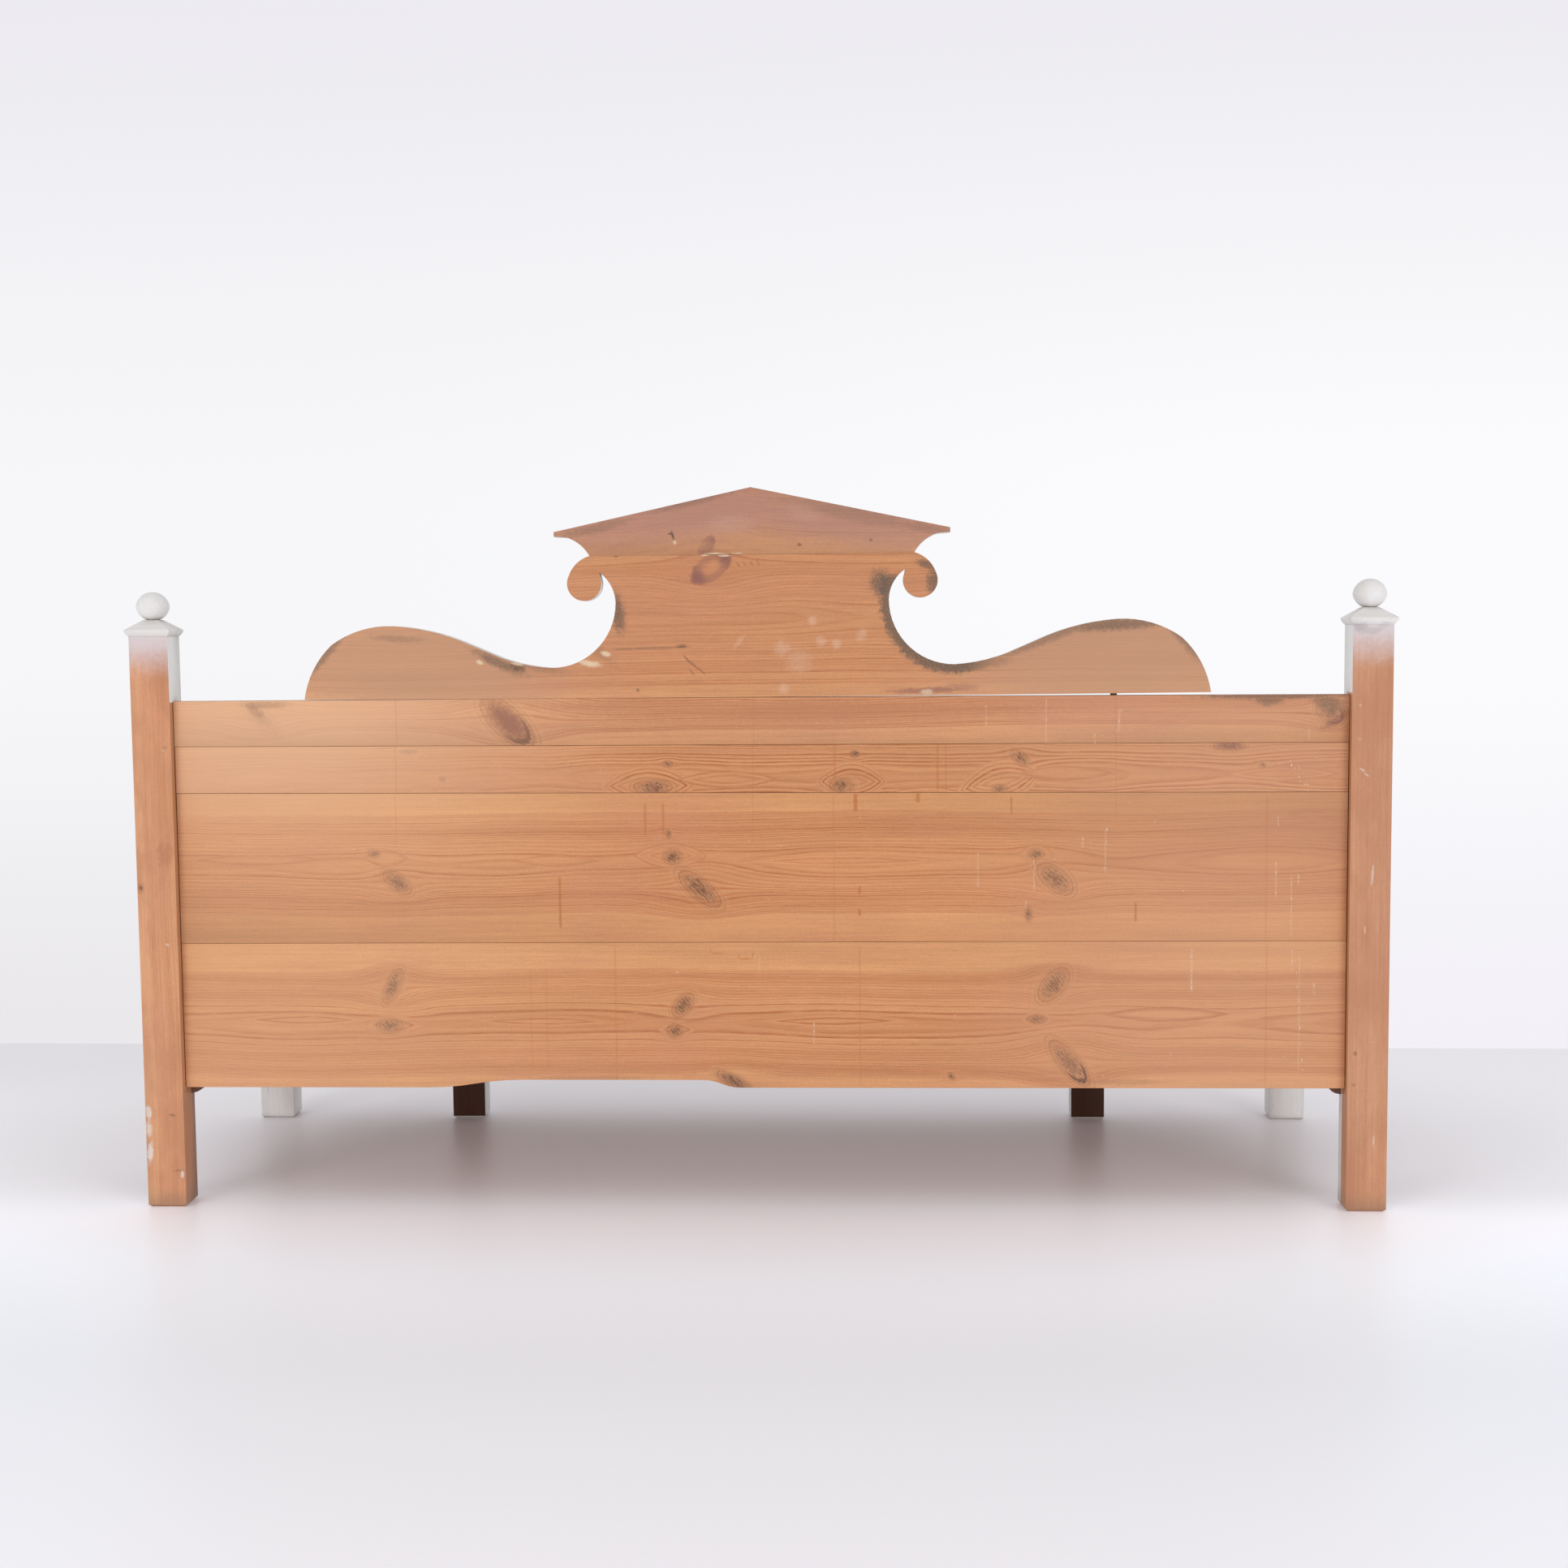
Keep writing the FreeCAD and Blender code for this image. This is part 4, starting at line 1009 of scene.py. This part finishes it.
for side in ("left", "right"):
    dress("front_post_" + side, upright_paint, post_edge)
    dress("back_post_cap_" + side, level_paint, board_edge)
    dress("front_post_cap_" + side, level_paint, board_edge)
    dress("end_board_lower_" + side, end_paint, board_edge)
    dress("end_board_upper_" + side, end_paint, board_edge)
    dress("arm_rest_" + side, end_paint, arm_edge)
    dress("side_runner_" + side, stained("stained_runner_" + side, "y", 3.0), post_edge)
    dress("lid_cleat_" + side, inside_pine("pine_cleat_" + side, "y"), inner_edge)
    dress("drawer_leg_" + side, upright_paint, post_edge, leg_material("leg_" + side, 7.0))
    dress("drawer_side_" + side, inside_pine("pine_drawer_side_" + side, "yz"), inner_edge)
dress("back_balls", upright_paint)
dress("front_balls", upright_paint)
dress("back_pegs", bare_pine("pine_pegs", "x", plain_board, peg_pine, 0.55))
dress("crest_dowels", stained("stained_dowels", "z", 9.0))
inner_pine = inside_pine("pine_inner", "x")
inner_end_pine = inside_pine("pine_inner_ends", "yz")
under_pine = inside_pine("pine_under_seat", "xy", seat_under_board)
for name in ("rear_slat_ledger", "fixed_crossbar", "drawer_front_ledger", "drawer_rear_crossbar"):
    dress(name, inner_pine, inner_edge)
dress("lid_battens", inside_pine("pine_battens", "y"), inner_edge)
dress("fixed_slats", row_of_slats("pine_fixed_slats"), inner_edge)
dress("drawer_slats", row_of_slats("pine_drawer_slats"), inner_edge)
for name in ("rear_seat_rail", "lid_front_board", "lid_rear_board"):
    dress(name, seat_paint, post_edge)
dress("drawer_front_board", level_paint, inner_edge)
bare_side("back_board_1", (0, -1, 0), inner_pine)
bare_side("drawer_front_board", (0, 1, 0), inner_pine)
bare_side("lid_front_board", (0, 0, -1), under_pine)
bare_side("lid_rear_board", (0, 0, -1), under_pine)
bare_side("end_board_lower_left", (1, 0, 0), inner_end_pine)
bare_side("end_board_lower_right", (-1, 0, 0), inner_end_pine)
for number in (1, 2, 3):
    dress(f"front_moulding_{number}", level_paint)
forged = iron("iron")
for name in ("hinge_leaves_fixed", "hinge_leaves_lid", "hinge_pins"):
    dress(name, forged, iron_edge)

for piece in nodes.values():
    piece.data.set_sharp_from_angle(angle=sharp_above)
    for polygon in piece.data.polygons:
        polygon.use_smooth = True


def splash_mesh(name, strokes, material, seed):
    """Thin raised strokes of paint on the boards' rear faces. A stroke is the place
    of its top along X and Z, the place of its foot and its width."""
    draw = random.Random(seed)
    shape = bmesh.new()
    profile = [(-1.0, 0.0), (-0.55, 0.8), (0.0, 1.0), (0.55, 0.8), (1.0, 0.0)]
    for top_x, top_z, foot_x, foot_z, width in strokes:
        stations = max(4, int(abs(top_z - foot_z) / splash_step))
        rows = []
        for number in range(stations + 1):
            share = number / stations
            end = min(1.0, 4 * min(share, 1.0 - share) + 0.15)
            half = width / 2 * end * draw.uniform(0.65, 1.1)
            x = top_x + (foot_x - top_x) * share + draw.uniform(-0.12, 0.12) * width
            z = top_z + (foot_z - top_z) * share
            rows.append([
                shape.verts.new((x + across * half, board_rear_y - 0.00004 + out * splash_height * end, z))
                for across, out in profile
            ])
        for first, second in zip(rows, rows[1:]):
            for corner in range(len(profile) - 1):
                after = corner + 1
                shape.faces.new((first[corner], first[after], second[after], second[corner]))
            shape.faces.new((first[-1], first[0], second[0], second[-1]))
        shape.faces.new(rows[0][::-1])
        shape.faces.new(rows[-1])
    bmesh.ops.recalc_face_normals(shape, faces=shape.faces)
    mesh = bpy.data.meshes.new(name)
    shape.to_mesh(mesh)
    shape.free()
    mesh.materials.append(material)
    for polygon in mesh.polygons:
        polygon.use_smooth = True
    piece = bpy.data.objects.new(name, mesh)
    bpy.context.scene.collection.objects.link(piece)
    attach(piece, "bench_frame")


def splash_material(name):
    """Dried paint, thinner in places so that the wood tints it."""
    t = Tree(name)
    x, y, z = t.where()
    patchy = t.noise(x * 300, y * 300, z * 90, 2.0, 0.6)
    tone = t.tint(patchy.rises(0.4, 0.65), splash_pale, splash_thin)
    return t.finish(tone, 0.5, patchy, strength=0.2)


def broken(strokes, draw):
    """Drops along some long strokes, of uneven size and with gaps between."""
    pieces = []
    for top_x, top_z, foot_x, foot_z, width in strokes:
        length = hypot(top_x - foot_x, top_z - foot_z)
        done = 0.0
        while done < length:
            step = draw.uniform(0.25, 1.0) * drop_length
            first, last = done / length, min(1.0, (done + step) / length)
            slant = foot_x - top_x
            fall = foot_z - top_z
            pieces.append((
                top_x + slant * first, top_z + fall * first,
                top_x + slant * last, top_z + fall * last, width * draw.uniform(0.35, 0.95),
            ))
            done += step + draw.uniform(0.3, 2.6) * drop_length
    return pieces


speck_levels = (0.225, 0.30, 0.37, 0.47, 0.55, 0.61, 0.67, 0.74)
speck_draw = random.Random(7)
stroke_places = [tuple(number / 1000 for number in row) for row in long_strokes]
paint_strokes = broken(stroke_places, speck_draw)
for number in range(16):
    x = speck_draw.uniform(-0.834, -0.802)
    z = 0.682 - (x + 0.802) * -1.25 + speck_draw.uniform(-0.010, 0.010)
    size = speck_draw.uniform(0.0010, 0.0024)
    paint_strokes.append((x, z, x - size / 2, z - size, size))
for number in range(46):
    x = speck_draw.uniform(-0.86, 0.80)
    z = speck_draw.choice(speck_levels) + speck_draw.uniform(-0.022, 0.022)
    size = speck_draw.uniform(0.0010, 0.0020)
    paint_strokes.append((x, z, x, z - size, size))
splash_mesh("paint_splashes", paint_strokes, splash_material("splashed_paint"), 5)


def flat_mesh(name, corners, material):
    """A flat four-cornered piece of the stage."""
    mesh = bpy.data.meshes.new(name)
    mesh.from_pydata(corners, [], [tuple(range(len(corners)))])
    piece = bpy.data.objects.new(name, mesh)
    bpy.context.scene.collection.objects.link(piece)
    mesh.materials.append(material)
    return piece


def floor_material():
    """A pale lilac-grey floor with a soft gloss and painted light: a painted glow makes it brighter away
    from the bench and just before its back, a painted cool tint before its back offsets the warm light
    bounced off the bench, a painted shadow dims it under the bench and painted shade dims it far from the
    bench on that side."""
    t = Tree("stage_floor")
    x, y, z = t.where()
    clouds = t.noise(x * 1.5, y * 1.5, 0.0, 3.0)
    away = t.length(oval(t, t.point(x, y, 0.0), (0.0, -0.1, 1.10, 0.52, 0.0)))
    tone = t.tint(clouds, colour(247, 243, 248), colour(250, 247, 252))
    # Painted light: a cool tint before the bench's back offsets the warm light bounced off its wood.
    painted_cool_tint = y.rises(0.28, 0.60) * away.falls(1.6, 4.2)
    tone = t.tint(painted_cool_tint, tone, colour(236, 243, 251))
    # Painted shadow: the floor is dimmed under the bench.
    under = x.size().falls(0.70, 1.05) * (y + 0.10).size().falls(0.12, 0.34)
    tone = t.tint(under * 0.24, tone, colour(206, 202, 206))
    # Painted shade: the floor far from the bench on its back side is dimmed.
    painted_shade_beyond = y.rises(1.45, 2.6)
    tone = t.tint(painted_shade_beyond * 0.65, tone, colour(205, 203, 208))
    # Painted light: the floor glows, more away from the bench and just before its back, and less in one
    # far corner.
    before = y.rises(0.16, 0.38) * y.falls(0.50, 1.0) * x.size().falls(1.3, 2.2)
    corner = x.rises(0.7, 1.4) * y.falls(-0.7, -0.3)
    painted_glow_around = away.rises(0.7, 1.6) * (corner * -0.05 + 0.115) * (1.0 - painted_shade_beyond)
    glow = painted_glow_around + before * (x.falls(-1.3, 0.0) * 0.035 + 0.115) + 0.012
    more = {"Emission Color": colour(238, 237, 245), "Emission Strength": glow}
    return t.finish(tone, 0.38, clouds, strength=0.02, specular=0.22, **more)


def wall_material():
    """A backdrop that glows for the eye with painted light, brightest at middle height and dimmer towards
    its top, its foot and its +X side, and is open from behind.
    """
    t = Tree("stage_wall")
    x, y, z = t.where()
    # Painted light: the backdrop dims towards its top, its foot and its +X side.
    top = z.rises(1.1, 2.4)
    low = z.falls(0.0, 0.9)
    side = x.falls(-1.2, 1.2)
    middle = t.tint(side, colour(247, 247, 249), colour(251, 251, 253))
    foot = t.tint(side, colour(234, 232, 235), colour(243, 241, 247))
    tone = t.tint(top, middle, colour(236, 234, 240))
    tone = t.tint(low, tone, foot)
    glow = t.node("Emission", {0: tone, 1: 1.0})
    clear = t.node("BsdfTransparent", {})
    behind = t.node("NewGeometry", {}).outputs["Backfacing"]
    mix = t.node("MixShader", {0: behind, 1: glow.outputs[0], 2: clear.outputs[0]})
    output = t.node("OutputMaterial", {})
    t.links.new(mix.outputs[0], output.inputs[0])
    return t.material


def build_stage():
    """Floor, wall, world light and lamps."""
    wide = stage_half_width
    deep = floor_depth
    flat_mesh(
        "stage_floor",
        [(x, y, 0) for x, y in ((-wide, -deep), (wide, -deep), (wide, deep), (-wide, deep))],
        floor_material(),
    )
    lean = wide * tan(radians(wall_turn))
    wall = flat_mesh(
        "stage_wall",
        [
            (wide, wall_y + lean, 0), (-wide, wall_y - lean, 0),
            (-wide, wall_y - lean, wall_height), (wide, wall_y + lean, wall_height),
        ],
        wall_material(),
    )
    wall.visible_diffuse = False
    wall.visible_shadow = False
    world = bpy.data.worlds.new("world")
    bpy.context.scene.world = world
    world.use_nodes = True
    tree = world.node_tree
    tree.nodes.clear()
    path = tree.nodes.new("ShaderNodeLightPath")
    lit = tree.nodes.new("ShaderNodeBackground")
    lit.inputs[0].default_value = (1.0, 1.0, 1.0, 1.0)
    lit.inputs[1].default_value = world_light
    seen = tree.nodes.new("ShaderNodeBackground")
    seen.inputs[0].default_value = colour(244, 243, 247)
    seen.inputs[1].default_value = 1.0
    mix = tree.nodes.new("ShaderNodeMixShader")
    output = tree.nodes.new("ShaderNodeOutputWorld")
    tree.links.new(path.outputs["Is Camera Ray"], mix.inputs[0])
    tree.links.new(lit.outputs[0], mix.inputs[1])
    tree.links.new(seen.outputs[0], mix.inputs[2])
    tree.links.new(mix.outputs[0], output.inputs[0])


def lamp(name, place, power):
    """A soft square lamp that looks at the bench."""
    data = bpy.data.lights.new(name, "AREA")
    data.shape = "SQUARE"
    data.size = lamp_width
    data.energy = power
    piece = bpy.data.objects.new(name, data)
    bpy.context.scene.collection.objects.link(piece)
    piece.location = place
    piece.visible_glossy = False
    aim = Vector(lamp_target) - Vector(place)
    piece.rotation_euler = aim.to_track_quat("-Z", "Y").to_euler()


def build_camera():
    """The camera at the place, turn and lens that fit the photograph."""
    turn, dip, roll = radians(camera_turn), radians(camera_dip), radians(camera_roll)
    ahead = Vector((sin(turn) * cos(dip), -cos(turn) * cos(dip), -sin(dip)))
    level_right = Vector((-cos(turn), -sin(turn), 0.0))
    level_up = level_right.cross(ahead)
    right = level_right * cos(roll) + level_up * sin(roll)
    up = level_up * cos(roll) - level_right * sin(roll)
    data = bpy.data.cameras.new("camera")
    data.lens = camera_lens
    data.sensor_width = camera_sensor
    data.sensor_fit = "HORIZONTAL"
    piece = bpy.data.objects.new("camera", data)
    bpy.context.scene.collection.objects.link(piece)
    axes = Matrix((right, up, -ahead)).transposed()
    piece.matrix_world = Matrix.Translation(camera_place) @ axes.to_4x4()
    bpy.context.scene.camera = piece


build_stage()
for name, (place, power) in lamps.items():
    lamp(name, place, power)
build_camera()
bpy.context.scene.view_settings.view_transform = "Standard"
